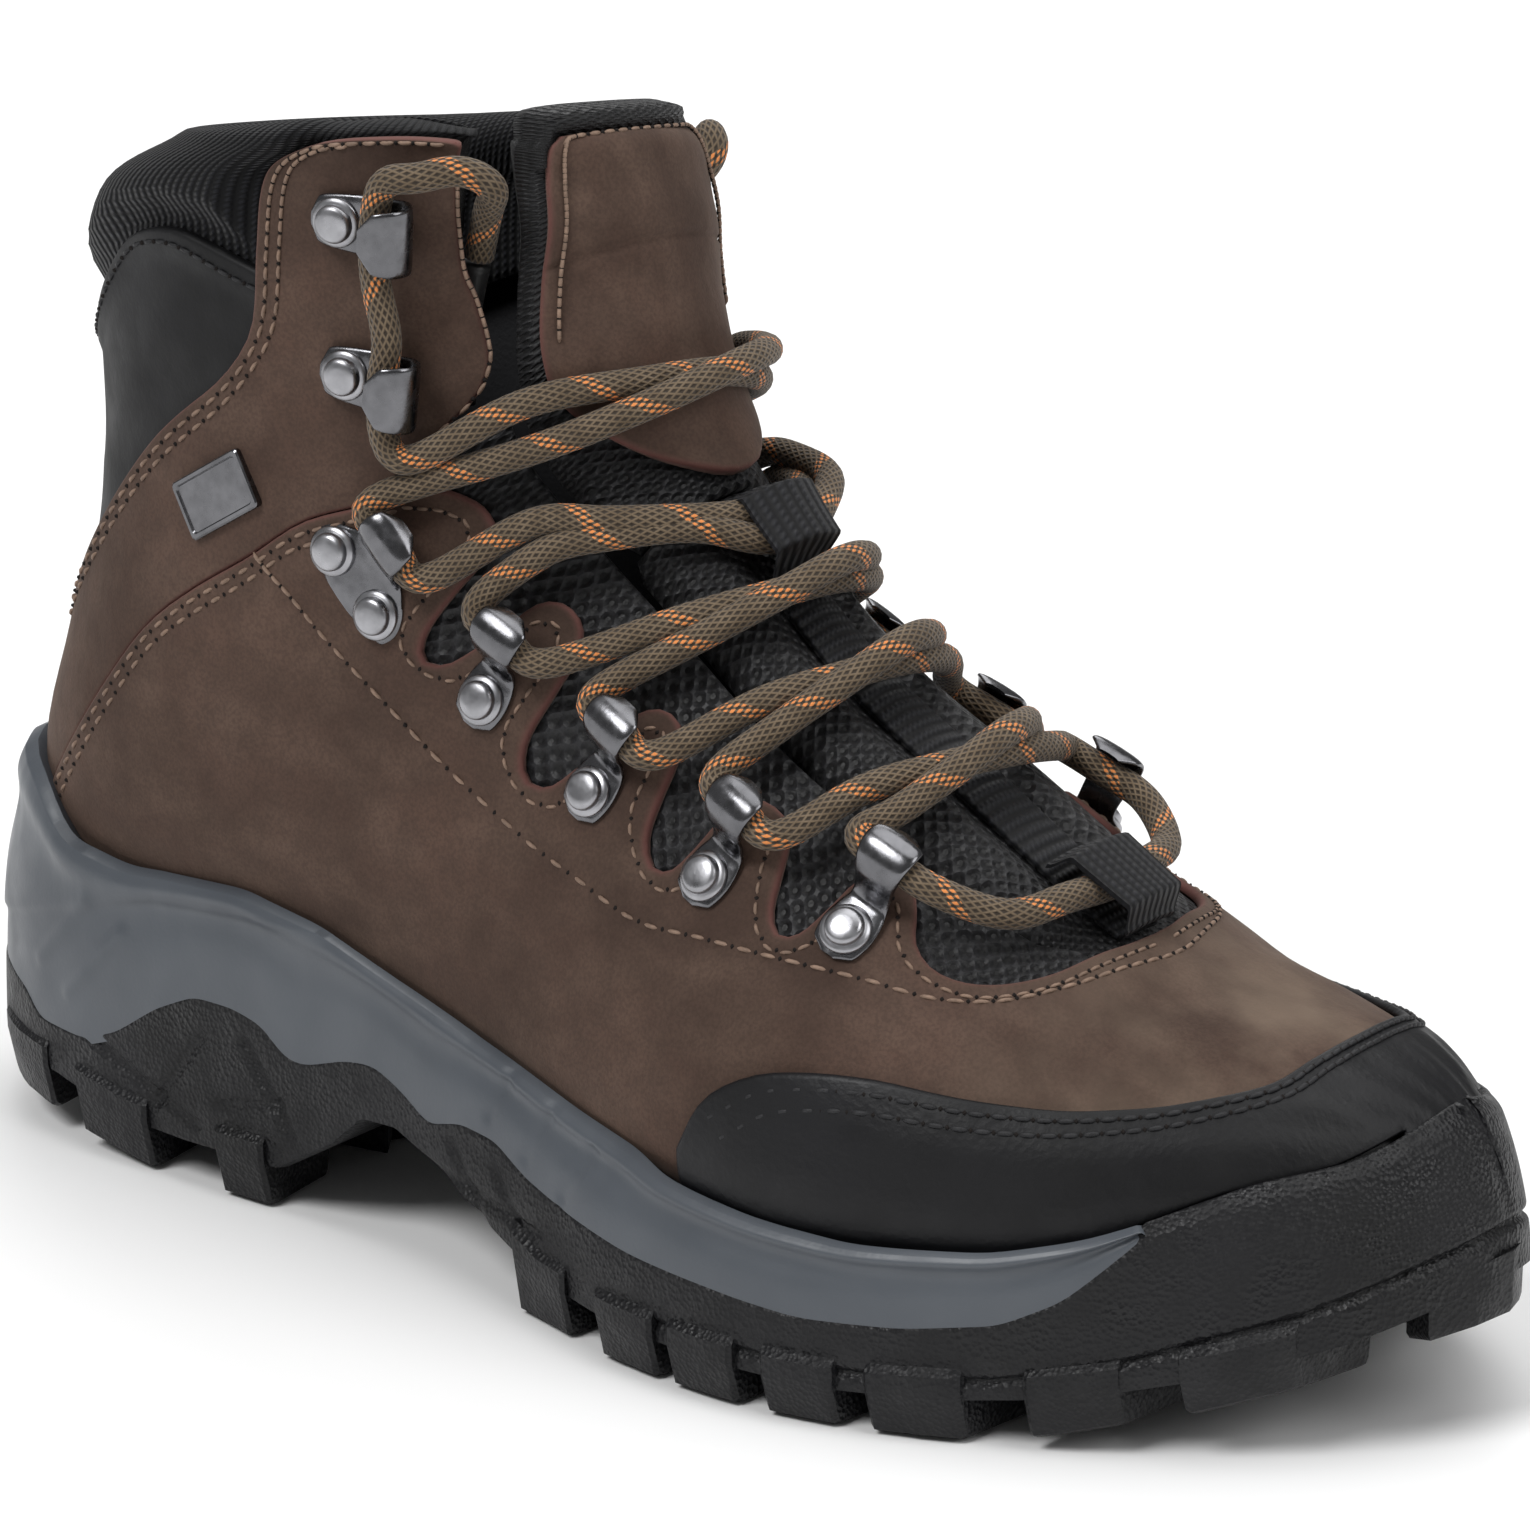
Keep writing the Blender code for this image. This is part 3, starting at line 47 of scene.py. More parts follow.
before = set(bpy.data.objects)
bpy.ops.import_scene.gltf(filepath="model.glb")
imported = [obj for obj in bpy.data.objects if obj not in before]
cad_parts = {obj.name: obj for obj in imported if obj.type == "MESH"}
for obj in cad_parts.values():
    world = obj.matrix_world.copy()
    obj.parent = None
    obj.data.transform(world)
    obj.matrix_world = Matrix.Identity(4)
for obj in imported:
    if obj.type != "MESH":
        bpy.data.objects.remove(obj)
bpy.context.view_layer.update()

# Sections of the last, in millimetres: top x, top z, bottom x, bottom z, lateral y, medial y,
# height share of the widest place, roundness above it, roundness below it.
SECTIONS = np.array([
    (134.0, 42.0, 134.0, 37.0, 1.0, 5.0, 0.50, 2.0, 2.0),
    (132.5, 45.0, 132.5, 31.0, -6.0, 10.5, 0.50, 2.2, 2.4),
    (129.0, 48.5, 129.5, 27.0, -12.5, 16.0, 0.45, 2.2, 2.6),
    (123.0, 52.5, 124.0, 25.0, -20.0, 22.0, 0.42, 2.2, 2.8),
    (113.0, 56.5, 114.0, 23.5, -29.0, 29.5, 0.38, 2.2, 3.0),
    (99.5, 60.0, 98.0, 22.0, -39.5, 37.5, 0.34, 2.1, 3.0),
    (86.0, 64.5, 81.0, 21.0, -47.5, 43.0, 0.30, 2.0, 3.0),
    (71.0, 74.0, 60.0, 20.5, -53.5, 46.0, 0.26, 1.9, 3.0),
    (50.0, 88.5, 35.0, 21.0, -54.5, 44.0, 0.23, 1.85, 3.0),
    (30.0, 101.5, 5.0, 24.0, -49.0, 38.5, 0.24, 1.85, 2.8),
    (13.0, 115.5, -35.0, 30.0, -41.5, 35.0, 0.32, 1.9, 2.6),
    (1.0, 129.5, -85.0, 34.0, -38.5, 35.0, 0.42, 2.0, 2.4),
    (-7.0, 144.0, -130.0, 38.0, -38.0, 35.5, 0.48, 2.1, 2.2),
    (-10.0, 153.5, -139.0, 58.0, -37.5, 35.5, 0.50, 2.2, 2.1),
    (-12.0, 162.0, -132.0, 84.0, -37.0, 35.5, 0.50, 2.2, 2.1),
    (-13.0, 168.5, -126.0, 112.0, -37.0, 36.0, 0.50, 2.2, 2.1),
    (-14.5, 173.5, -124.0, 140.0, -38.0, 36.0, 0.50, 2.2, 2.2),
    (-16.0, 177.5, -117.0, 160.0, -38.5, 35.0, 0.50, 2.2, 2.3),
    (-18.0, 179.5, -98.0, 171.0, -38.0, 32.5, 0.50, 2.2, 2.3),
    (-20.0, 186.0, -92.0, 178.0, -38.0, 32.5, 0.50, 2.2, 2.3),
])
TOP_S = len(SECTIONS) - 1
# The collar leans: its medial side is lower than its lateral one.
LEAN = 0.11

# Sole lines, as (x, value) in millimetres.
WALL_LATERAL = [(-151, 0), (-149, -8), (-143, -18), (-130, -28), (-115, -33), (-95, -36), (-75, -37.5),
                (-50, -39), (-30, -42.5), (0, -52), (18, -58), (39, -61), (55, -60), (70, -56.5),
                (82, -52), (95, -47), (110, -39.5), (122, -31.5), (132, -22.5), (139.5, -12), (143.5, -3)]
WALL_MEDIAL = [(144, 3), (142, 8.5), (137.5, 16), (131, 24), (122, 33), (108, 42), (90, 48.5), (60, 51.5),
               (30, 46), (0, 38.5), (-30, 34.5), (-70, 36), (-95, 36), (-115, 33), (-130, 28),
               (-143, 18), (-149, 8)]
RIM = [(-151, 65), (-140, 65), (-126, 62), (-115, 54), (-101, 51.5), (-73, 53.5), (-55, 51), (-40, 46),
       (-20, 40), (2, 35.6), (22, 32), (44, 29.6), (61, 28.8), (83, 30.4), (97, 33.7), (106, 37),
       (120, 42.5), (133, 45), (141, 48.5), (147, 53), (151, 54)]
LOBES = [(-151, 27), (-136, 26), (-128, 24.6), (-124, 20.6), (-112, 20.3), (-103, 23.5), (-93, 30.5),
         (-84, 34.9), (-75, 34.9), (-68, 33.2), (-63.5, 28.6), (-59, 27.9), (-50, 30.6), (-43, 31.1),
         (-36, 28), (-30, 24.6), (-22, 27.3), (-13, 27.3), (-5, 24.1), (6, 21.8), (21, 20), (38, 19),
         (55, 17.5), (71, 18.3), (85, 20.4), (94, 25.3), (100, 31.3), (106, 37.5), (151, 90)]
TREAD = [(-151, 15), (-140, 12.5), (-119, 11.5), (-100, 8), (-87, 7.5), (-66, 7.5), (-60, 11), (-53, 15),
         (-46, 21), (-38, 21.5), (-29, 18.5), (-10, 11), (0, 7.5), (20, 6.5), (60, 6), (80, 7), (88, 8),
         (103, 11), (115, 14), (130, 19), (145, 26), (151, 29)]
LUG_FOOT = [(-151, 9), (-138, 5.5), (-121, 4), (-113, 2.5), (-100, 0.6), (-94, 0), (68, 0), (82, 0.3),
            (91, 2), (100, 4.5), (110, 7), (125, 12), (138, 17.5), (145, 20), (151, 24)]
BED = [(-151, 40), (-131, 38), (-85, 34), (-35, 30), (5, 24), (60, 20.5), (98, 22), (114, 23.5), (131, 27),
       (151, 30)]
CORE = [(-151, 27), (-131, 26), (-85, 24), (-46, 25), (-20, 21.5), (5, 15.5), (60, 12), (98, 13.5),
        (114, 17), (131, 22), (151, 31)]
# Lugs as (back x, front x, share of the half width where the block starts inside).
SIDE_LUGS = [(-139, -121, 0.42), (-113, -95, 0.5), (-79, -68, 0.5), (-7, 7, 0.55), (15, 28, 0.5),
             (31, 44, 0.55), (49, 61, 0.5), (66, 80, 0.5), (89, 102, 0.5), (110, 124, 0.45)]
MID_LUGS = [(-108, -90), (-84, -66), (-2, 14), (22, 38), (46, 62), (70, 86), (94, 110)]
TOE_LUG = [(129, -7), (136, -12.5), (141, -7), (143.2, 0), (141, 7), (136, 14.5), (129, 13)]
# Lugs behind this x belong to the heel.
WAIST = -20

# Edges of the upper's panels on the lateral side, as (s, u); the medial side mirrors them.
SEAM = [(12.55, -0.95), (12.6, -0.86), (12.75, -0.78), (12.95, -0.7), (13.15, -0.62), (13.15, -0.55),
        (13.05, -0.47), (13.0, -0.4), (12.7, -0.33), (12.5, -0.29)]
TABS = [(12.38, -0.262), (12.15, -0.24), (11.85, -0.225), (11.6, -0.232), (11.5, -0.26), (11.45, -0.3),
        (11.38, -0.345), (11.26, -0.37), (11.13, -0.36), (11.07, -0.33), (11.03, -0.29), (10.99, -0.25),
        (10.85, -0.232), (10.65, -0.236), (10.52, -0.262), (10.46, -0.31), (10.4, -0.37),
        (10.27, -0.403), (10.13, -0.395), (10.05, -0.355), (9.99, -0.31), (9.94, -0.262), (9.8, -0.237),
        (9.62, -0.24), (9.53, -0.268), (9.48, -0.31), (9.42, -0.352), (9.3, -0.373), (9.17, -0.36),
        (9.1, -0.32), (9.06, -0.28), (9.0, -0.245), (8.85, -0.225), (8.65, -0.226), (8.55, -0.247),
        (8.48, -0.28), (8.4, -0.318), (8.28, -0.333), (8.15, -0.315), (8.07, -0.27), (8.03, -0.235),
        (7.95, -0.205), (7.82, -0.192), (7.68, -0.198), (7.58, -0.22), (7.48, -0.248), (7.3, -0.262),
        (7.05, -0.252), (6.8, -0.22), (6.6, -0.17), (6.48, -0.1), (6.4, -0.05), (6.37, 0.0)]
FLAP = [(12.56, -0.285), (12.85, -0.262), (12.95, -0.225), (13.05, -0.2), (13.35, -0.188),
        (13.7, -0.192), (14.3, -0.207), (14.8, -0.224), (15.3, -0.23), (16.3, -0.232), (17.2, -0.236),
        (17.6, -0.25), (17.8, -0.272), (17.92, -0.31), (17.95, -0.35), (17.92, -0.42), (17.8, -0.455),
        (17.5, -0.47), (17.0, -0.474), (16.0, -0.477), (15.4, -0.488), (15.15, -0.51), (15.0, -0.55),
        (14.93, -0.61), (14.85, -0.66), (14.68, -0.72), (14.42, -0.8), (14.2, -0.88), (14.12, -0.997)]
CAP = [(8.35, -0.6), (8.25, -0.53), (7.98, -0.475), (7.65, -0.44), (7.3, -0.415), (7.0, -0.402),
       (6.3, -0.383), (5.5, -0.36), (4.8, -0.325), (4.15, -0.25), (3.95, -0.15), (3.88, -0.07), (3.86, 0.0)]
PATCH_TOP = [(15.4, -0.44), (15.75, -0.48), (16.3, -0.585), (16.47, -0.65), (16.45, -0.71), (16.2, -0.78),
             (15.95, -0.86), (15.8, -1.0)]
PATCH_FOOT = [(13.9, -1.0), (14.0, -0.87), (14.25, -0.75), (14.5, -0.66), (14.6, -0.56), (14.9, -0.46)]

# Fittings down each facing: (s, u) of the rivet.
LOOPS = [(7.87, 0.285), (8.9, 0.335), (9.86, 0.362), (10.76, 0.36)]
LOCK = (12.02, 0.352)
HOOKS = [(14.3, 0.352), (16.1, 0.362)]


def table(rows, x):
    """The value at x along a sole line."""
    xs, values = zip(*rows)
    return np.interp(x, xs, values)


def smoothstep(a, b, x):
    """0 below a, 1 above b, and a smooth rise between them."""
    t = np.clip((x - a) / (b - a), 0.0, 1.0)
    return t * t * (3.0 - 2.0 * t)


def spline(points, count):
    """Samples of a smooth open curve through points, evenly spread over its spans."""
    p = np.asarray(points, float)
    last = len(p) - 1
    out = []
    for a in np.linspace(0.0, last, count):
        i = min(int(a), last - 1)
        t = a - i
        before = p[i + 1] - p[i - 1] if i else 2 * (p[1] - p[0])
        after = p[i + 2] - p[i] if i + 2 <= last else 2 * (p[last] - p[last - 1])
        out.append((2 * t**3 - 3 * t**2 + 1) * p[i] + (t**3 - 2 * t**2 + t) * before / 2
                   + (3 * t**2 - 2 * t**3) * p[i + 1] + (t**3 - t**2) * after / 2)
    return np.array(out)


def run(line):
    """Distance along a line to each of its points."""
    return np.r_[0.0, np.cumsum(np.linalg.norm(np.diff(line, axis=0), axis=1))]


def unit(vectors):
    """The same directions, each of length 1."""
    return vectors / np.maximum(np.linalg.norm(vectors, axis=-1, keepdims=True), 1e-12)


def left_of(ahead):
    """Flat directions turned a quarter turn to the left."""
    return np.stack([-ahead[:, 1], ahead[:, 0]], 1)


def circle(count):
    """Angles evenly round a circle."""
    return np.linspace(0, 2 * math.pi, count, endpoint=False)


def even(points, count, closed=False):
    """The same line again with count points at equal steps."""
    p = np.asarray(points, float)
    if closed:
        p = np.vstack([p, p[:1]])
    along = run(p)
    at = np.linspace(0.0, along[-1], count + 1)[:-1] if closed else np.linspace(0.0, along[-1], count)
    return np.stack([np.interp(at, along, p[:, k]) for k in range(p.shape[1])], 1)


class Last:
    """The outside of the leather, as a grid of points over (s, u)."""

    SIDE = 97
    RINGS = 305

    def __init__(self):
        """The grid: RINGS sections, each of SIDE points on each side of the top line."""
        self.grid = np.array([self.ring(row) for row in spline(SECTIONS, self.RINGS)])

    def ring(self, row):
        """One section: half a rounded outline on each side, from the top to the bottom."""
        top_x, top_z, low_x, low_z, lateral, medial, wide, q_top, q_low = row
        top = np.array([top_x, 0.0, top_z])
        low = np.array([low_x, 0.0, low_z])
        angle = np.linspace(0.0, np.pi, 181)
        c = np.cos(angle)
        power = np.where(c > 0, q_top, q_low)
        out = np.abs(np.sin(angle)) ** (2.0 / power)
        share = np.abs(c) ** (2.0 / power)
        up = wide + np.where(c > 0, (1 - wide) * share, -wide * share)
        sides = []
        for sign in (-1, 1):
            points = low + (top - low) * up[:, None]
            points[:, 1] = (lateral + medial) / 2 + sign * (medial - lateral) / 2 * out
            high = smoothstep(120.0, 175.0, points[:, 2])
            points[:, 2] -= LEAN * high * points[:, 1]
            sides.append(even(points, self.SIDE))
        return np.vstack([sides[0][::-1], sides[1][1:]]) * MM

    def point(self, s, u, h=0.0):
        """The places (s, u), raised by h metres along the surface's normal."""
        s, u, h = np.broadcast_arrays(*(np.asarray(v, float) for v in (s, u, h)))
        wrapped = (u + 1.0) % 2.0 - 1.0
        rows, columns = self.grid.shape[:2]
        a = np.clip(s / TOP_S, 0, 1) * (rows - 1)
        b = (wrapped + 1) / 2 * (columns - 1)

        def at(a, b):
            b = b % (columns - 1)
            i = np.clip(a.astype(int), 0, rows - 2)
            j = np.clip(b.astype(int), 0, columns - 2)
            fa = (a - i)[..., None]
            fb = (b - j)[..., None]
            g = self.grid
            return (g[i, j] * (1 - fa) * (1 - fb) + g[i + 1, j] * fa * (1 - fb)
                    + g[i, j + 1] * (1 - fa) * fb + g[i + 1, j + 1] * fa * fb)

        ds = at(np.minimum(a + 1.5, rows - 1), b) - at(np.maximum(a - 1.5, 0), b)
        du = at(a, b + 1.5) - at(a, b - 1.5)
        return at(a, b) + unit(np.cross(du, ds)) * h[..., None]

    def frame(self, s, u):
        """Point, outward normal, direction of growing s and the direction towards the tongue, at (s, u)."""
        point = self.point(s, u)
        normal = self.point(s, u, 1.0) - point
        up = self.point(s + 0.2, u) - self.point(s - 0.2, u)
        up = unit(up - normal * np.dot(up, normal))
        inward = np.cross(up, normal)
        if np.dot(inward, self.point(s, u * 0.8) - point) < 0:
            inward = -inward
        return point, normal, up, inward


LAST = Last()


def over(s, u, h):
    """The place (s, u) on the last, raised by h millimetres."""
    return LAST.point(s, u, h * MM)


def inside(points, loop):
    """Which of points lie in the closed loop."""
    x, y = points[:, 0], points[:, 1]
    hit = np.zeros(len(points), bool)
    for (x0, y0), (x1, y1) in zip(loop, np.roll(loop, -1, axis=0)):
        crosses = (y0 > y) != (y1 > y)
        at = x0 + (y - y0) / np.where(y1 == y0, 1e-12, y1 - y0) * (x1 - x0)
        hit ^= crosses & (x < at)
    return hit


def distance(points, loop, closed=True):
    """Distance from each point to the nearest place on the loop."""
    ends = np.roll(loop, -1, axis=0) if closed else loop[1:]
    best = np.full(len(points), np.inf)
    for a, b in zip(loop if closed else loop[:-1], ends):
        d = b - a
        t = np.clip(((points - a) @ d) / max(d @ d, 1e-18), 0, 1)
        best = np.minimum(best, np.linalg.norm(points - a - t[:, None] * d, axis=1))
    return best


# One unit of s is about this many millimetres along the last, and one of u about this many round it.
S_SIZE = 18.0
U_SIZE = 125.0
FLAT = np.array([S_SIZE, U_SIZE])

# The length of one band of the wave texture at scale 1, in metres.
WAVE_PERIOD = 0.314


class Paint:
    """One Principled material and the nodes that feed it; a pattern's scale is a count per metre."""

    def __init__(self, name, roughness, metallic=0.0, **sockets):
        """A new material; sockets name other inputs of its shader, with _ for a space."""
        self.material = bpy.data.materials.new(name)
        self.material.use_nodes = True
        self.tree = self.material.node_tree
        self.shader = self.tree.nodes["Principled BSDF"]
        self.shader.inputs["Roughness"].default_value = roughness
        self.shader.inputs["Metallic"].default_value = metallic
        for socket, value in sockets.items():
            self.shader.inputs[socket.replace("_", " ")].default_value = value
        self.coords = self.tree.nodes.new("ShaderNodeTexCoord")

    def node(self, kind, inputs, **settings):
        """A new node, each input linked from a socket or set to a value."""
        made = self.tree.nodes.new(kind)
        for key, value in settings.items():
            setattr(made, key, value)
        for key, value in inputs.items():
            if isinstance(value, bpy.types.NodeSocket):
                self.tree.links.new(value, made.inputs[key])
            else:
                made.inputs[key].default_value = value
        return made

    def place(self, stretch=(1, 1, 1), turn=0.0, source="Object"):
        """Object or UV coordinates, stretched and turned by degrees about Z."""
        return self.node("ShaderNodeMapping", {"Vector": self.coords.outputs[source], "Scale": stretch,
                                               "Rotation": (0, 0, math.radians(turn))}).outputs[0]

    def noise(self, scale, detail=3.0, vector=None):
        """Cloudy noise round 0.5."""
        made = self.node("ShaderNodeTexNoise", {"Scale": scale, "Detail": detail,
                                                "Vector": vector or self.coords.outputs["Object"]})
        return made.outputs["Fac"]

    def cells(self, scale, vector, random=1.0):
        """Distance from the middle of the nearest cell."""
        made = self.node("ShaderNodeTexVoronoi", {"Scale": scale, "Vector": vector, "Randomness": random})
        return made.outputs["Distance"]

    def waves(self, period, turn=0.0):
        """Bands as a sine from 0 to 1, one every period, across the turned X axis of the UV."""
        inputs = {"Vector": self.place(turn=turn, source="UV"), "Scale": WAVE_PERIOD / period,
                  "Distortion": 0.0, "Detail": 0.0}
        made = self.node("ShaderNodeTexWave", inputs, wave_type="BANDS", bands_direction="X",
                         wave_profile="SIN")
        return made.outputs["Fac"]

    def math(self, operation, a, b=0.0):
        """One sum on values or sockets."""
        return self.node("ShaderNodeMath", {0: a, 1: b}, operation=operation).outputs[0]

    def span(self, value, low, high, to_low=0.0, to_high=1.0):
        """Value mapped from low..high to to_low..to_high, and held at the ends."""
        made = self.node("ShaderNodeMapRange", {"Value": value, "From Min": low, "From Max": high,
                                                "To Min": to_low, "To Max": to_high})
        return made.outputs["Result"]

    def blend(self, share, a, b):
        """Colour a, shading into b as share goes from 0 to 1."""
        made = self.node("ShaderNodeMix", {0: share}, data_type="RGBA")
        for socket, value in ((made.inputs[6], a), (made.inputs[7], b)):
            if isinstance(value, bpy.types.NodeSocket):
                self.tree.links.new(value, socket)
            else:
                socket.default_value = (*value, 1.0)
        return made.outputs[2]

    def colour(self, value):
        """Sets the base colour from a socket or three numbers."""
        if isinstance(value, bpy.types.NodeSocket):
            self.tree.links.new(value, self.shader.inputs["Base Color"])
        else:
            self.shader.inputs["Base Color"].default_value = (*value, 1.0)

    def rough(self, value):
        """Drives the roughness from a socket."""
        self.tree.links.new(value, self.shader.inputs["Roughness"])

    def relief(self, *layers):
        """Bump from (height, depth in millimetres) layers, each on top of the one before."""
        normal = None
        for height, depth in layers:
            inputs = {"Height": height, "Distance": depth * MM, "Strength": 1.0}
            if normal is not None:
                inputs["Normal"] = normal
            normal = self.node("ShaderNodeBump", inputs).outputs[0]
        self.tree.links.new(normal, self.shader.inputs["Normal"])

    def rubbed_toe(self):
        """From 0 to 1 where the leather over the toes is rubbed pale, broken up by cloudy noise."""
        along = self.node("ShaderNodeSeparateXYZ", {"Vector": self.coords.outputs["Object"]}).outputs[0]
        cloud = self.span(self.noise(45, 4.0), 0.35, 0.62)
        return self.math("MULTIPLY", self.span(along, 0.072, 0.122), cloud)

    def mark(self, name):
        """A vertex attribute as a value."""
        return self.node("ShaderNodeAttribute", {}, attribute_name=name).outputs["Fac"]


def nubuck():
    """Brushed brown leather: cloudy, with a fine nap and pinker raw edges."""
    p = Paint("nubuck", 0.82, Specular_IOR_Level=0.22, Sheen_Weight=0.12, Sheen_Roughness=0.45)
    p.shader.inputs["Sheen Tint"].default_value = (0.75, 0.6, 0.5, 1.0)
    cloud = p.span(p.noise(26, 5.0), 0.36, 0.66)
    streak = p.span(p.noise(1.0, 4.0, p.place((60, 150, 90))), 0.4, 0.7)
    brown = p.blend(cloud, (0.044, 0.026, 0.0195), (0.088, 0.051, 0.037))
    brown = p.blend(p.math("MULTIPLY", streak, 0.45), brown, (0.132, 0.086, 0.064))
    patchy = p.span(p.noise(170, 5.0), 0.42, 0.62)
    brown = p.blend(p.math("MULTIPLY", patchy, 0.35), brown, (0.050, 0.031, 0.023))
    speck = p.span(p.noise(1700, 3.0), 0.40, 0.62)
    brown = p.blend(p.math("MULTIPLY", speck, 0.32), brown, (0.030, 0.018, 0.013))
    brown = p.blend(p.math("MULTIPLY", p.rubbed_toe(), 0.75), brown, (0.205, 0.152, 0.112))
    p.colour(p.blend(p.math("MULTIPLY", p.mark("edge"), 0.8), brown, (0.165, 0.066, 0.058)))
    p.rough(p.span(cloud, 0.0, 1.0, 0.88, 0.72))
    p.relief((p.noise(55, 4.0), 0.5), (p.noise(420, 3.0), 0.10), (p.noise(2300, 2.0), 0.05))
    return p.material


def black_leather(name, grain, roughness):
    """Coated black leather with a pebbled grain."""
    p = Paint(name, roughness, Specular_IOR_Level=0.30)
    cloud = p.span(p.noise(30, 4.0), 0.35, 0.7)
    p.colour(p.blend(cloud, (0.0028, 0.0028, 0.0034), (0.006, 0.006, 0.0075)))
    p.rough(p.span(p.noise(90, 3.0), 0.3, 0.7, roughness - 0.07, roughness + 0.09))
    creases = p.noise(1.0, 3.0, p.place((240, 900, 240)))
    pebbles = p.cells(900, p.coords.outputs["Object"])
    p.relief((creases, grain), (pebbles, grain * 0.45), (p.noise(2500, 2.0), 0.03))
    return p.material


def knit():
    """Ribbed black knit: rows of small stitches along the rib."""
    p = Paint("collar_knit", 0.8, Specular_IOR_Level=0.2, Sheen_Weight=0.1, Sheen_Roughness=0.4)
    ribs = p.waves(0.0019, 0.0)
    rows = p.waves(0.0012, 90.0)
    weave = p.math("MULTIPLY", ribs, p.span(rows, 0.0, 1.0, 0.45, 1.0))
    # Painted highlight and shade: the black yarn is coloured lighter where the weave stands up and near black
    # in the dips.
    p.colour(p.blend(p.span(weave, 0.3, 1.0), (0.002, 0.002, 0.0025), (0.014, 0.0145, 0.018)))
    p.relief((weave, 0.45), (p.noise(3000, 2.0), 0.05))
    return p.material


def mesh_cloth(name, cell, light=0.022):
    """Open black spacer mesh: rows of small holes in painted shade, painted highlights on the threads."""
    p = Paint(name, 0.5, Specular_IOR_Level=0.35, Sheen_Weight=0.05)
    where = p.place((1.0, 0.72, 1.0), 45.0, "UV")
    holes = p.cells(1 / cell, where, 0.18)
    threads = p.span(holes, 0.22, 0.58)
    strand = p.noise(1800, 2.0)
    # Painted highlight: the threads are coloured up to light grey, most where strand is high; the holes stay
    # near black as painted shade.
    highlight_share = p.math("MULTIPLY", threads, p.span(strand, 0.3, 0.7, 0.35, 1.0))
    p.colour(p.blend(highlight_share, (0.0012, 0.0012, 0.0015), (light, light, light * 1.12)))
    p.relief((threads, 0.5), (strand, 0.12))
    return p.material


def webbing():
    """Ribbed woven tape: cords across, fine picks along."""
    p = Paint("webbing", 0.6, Specular_IOR_Level=0.25, Sheen_Weight=0.05)
    cords = p.waves(0.0016, 0.0)
    picks = p.waves(0.0011, 62.0)
    weave = p.math("MULTIPLY", cords, p.span(picks, 0.0, 1.0, 0.5, 1.0))
    # Painted highlight and shade: the black tape is coloured lighter on the raised cords and near black in
    # the dips between cords and picks.
    p.colour(p.blend(weave, (0.002, 0.002, 0.0025), (0.0125, 0.013, 0.016)))
    p.relief((weave, 0.4))
    return p.material


def braid(radius):
    """Round braided cord: crossing carriers and one orange thread. UV runs along and round it."""
    p = Paint("lace_braid", 0.72, Specular_IOR_Level=0.3, Sheen_Weight=0.12)
    one = p.waves(0.00095, 62.0)
    two = p.waves(0.00095, -62.0)
    weave = p.math("MAXIMUM", one, two)
    # Painted shade: the gaps between the crossing carriers are coloured dark brown, the raised carriers
    # khaki.
    unshaded = p.span(weave, 0.45, 0.95)
    wear = p.span(p.noise(300, 3.0), 0.3, 0.7)
    khaki = p.blend(wear, (0.112, 0.078, 0.046), (0.175, 0.128, 0.082))
    khaki = p.blend(unshaded, (0.030, 0.020, 0.012), khaki)
    along, round_it = p.node("ShaderNodeSeparateXYZ", {"Vector": p.coords.outputs["UV"]}).outputs[:2]
    # The orange thread winds round the cord once a pitch, and shows only where it comes up in the braid.
    wound = p.math("MULTIPLY", round_it, FLECK_PITCH / (2 * math.pi * radius))
    turn = p.math("FRACT", p.math("MULTIPLY", p.math("SUBTRACT", along, wound), 1 / FLECK_PITCH))
    raised = p.math("MULTIPLY", p.math("GREATER_THAN", one, 0.35), p.math("GREATER_THAN", two, 0.4))
    fleck = p.math("MULTIPLY", p.math("LESS_THAN", turn, 0.17), raised)
    p.colour(p.blend(fleck, khaki, (0.72, 0.25, 0.07)))
    p.relief((weave, 0.22), (p.noise(3500, 2.0), 0.03))
    return p.material


def thread(name, colour):
    """Twisted sewing thread."""
    p = Paint(name, 0.6, Specular_IOR_Level=0.35)
    wear = p.span(p.noise(700, 2.0), 0.3, 0.7)
    p.colour(p.blend(wear, tuple(c * 0.6 for c in colour), colour))
    p.relief((p.noise(4000, 2.0), 0.06))
    return p.material


def foam():
    """Moulded slate foam with a satin skin."""
    p = Paint("midsole_foam", 0.42, Specular_IOR_Level=0.45, Coat_Weight=0.08, Coat_Roughness=0.35)
    cloud = p.span(p.noise(35, 3.0), 0.3, 0.7)
    p.colour(p.blend(cloud, (0.058, 0.066, 0.078), (0.078, 0.088, 0.102)))
    p.rough(p.span(p.noise(120, 3.0), 0.3, 0.7, 0.36, 0.5))
    p.relief((p.noise(1400, 2.0), 0.035), (p.noise(90, 2.0), 0.12))
    return p.material


def rubber():
    """Black carbon rubber, finely pebbled."""
    p = Paint("outsole_rubber", 0.46, Specular_IOR_Level=0.32)
    cloud = p.span(p.noise(40, 4.0), 0.3, 0.7)
    p.colour(p.blend(cloud, (0.0035, 0.0035, 0.004), (0.0075, 0.0075, 0.009)))
    p.rough(p.span(p.noise(150, 3.0), 0.3, 0.7, 0.36, 0.58))
    p.relief((p.cells(1250, p.coords.outputs["Object"]), 0.26), (p.noise(500, 3.0), 0.12))
    return p.material


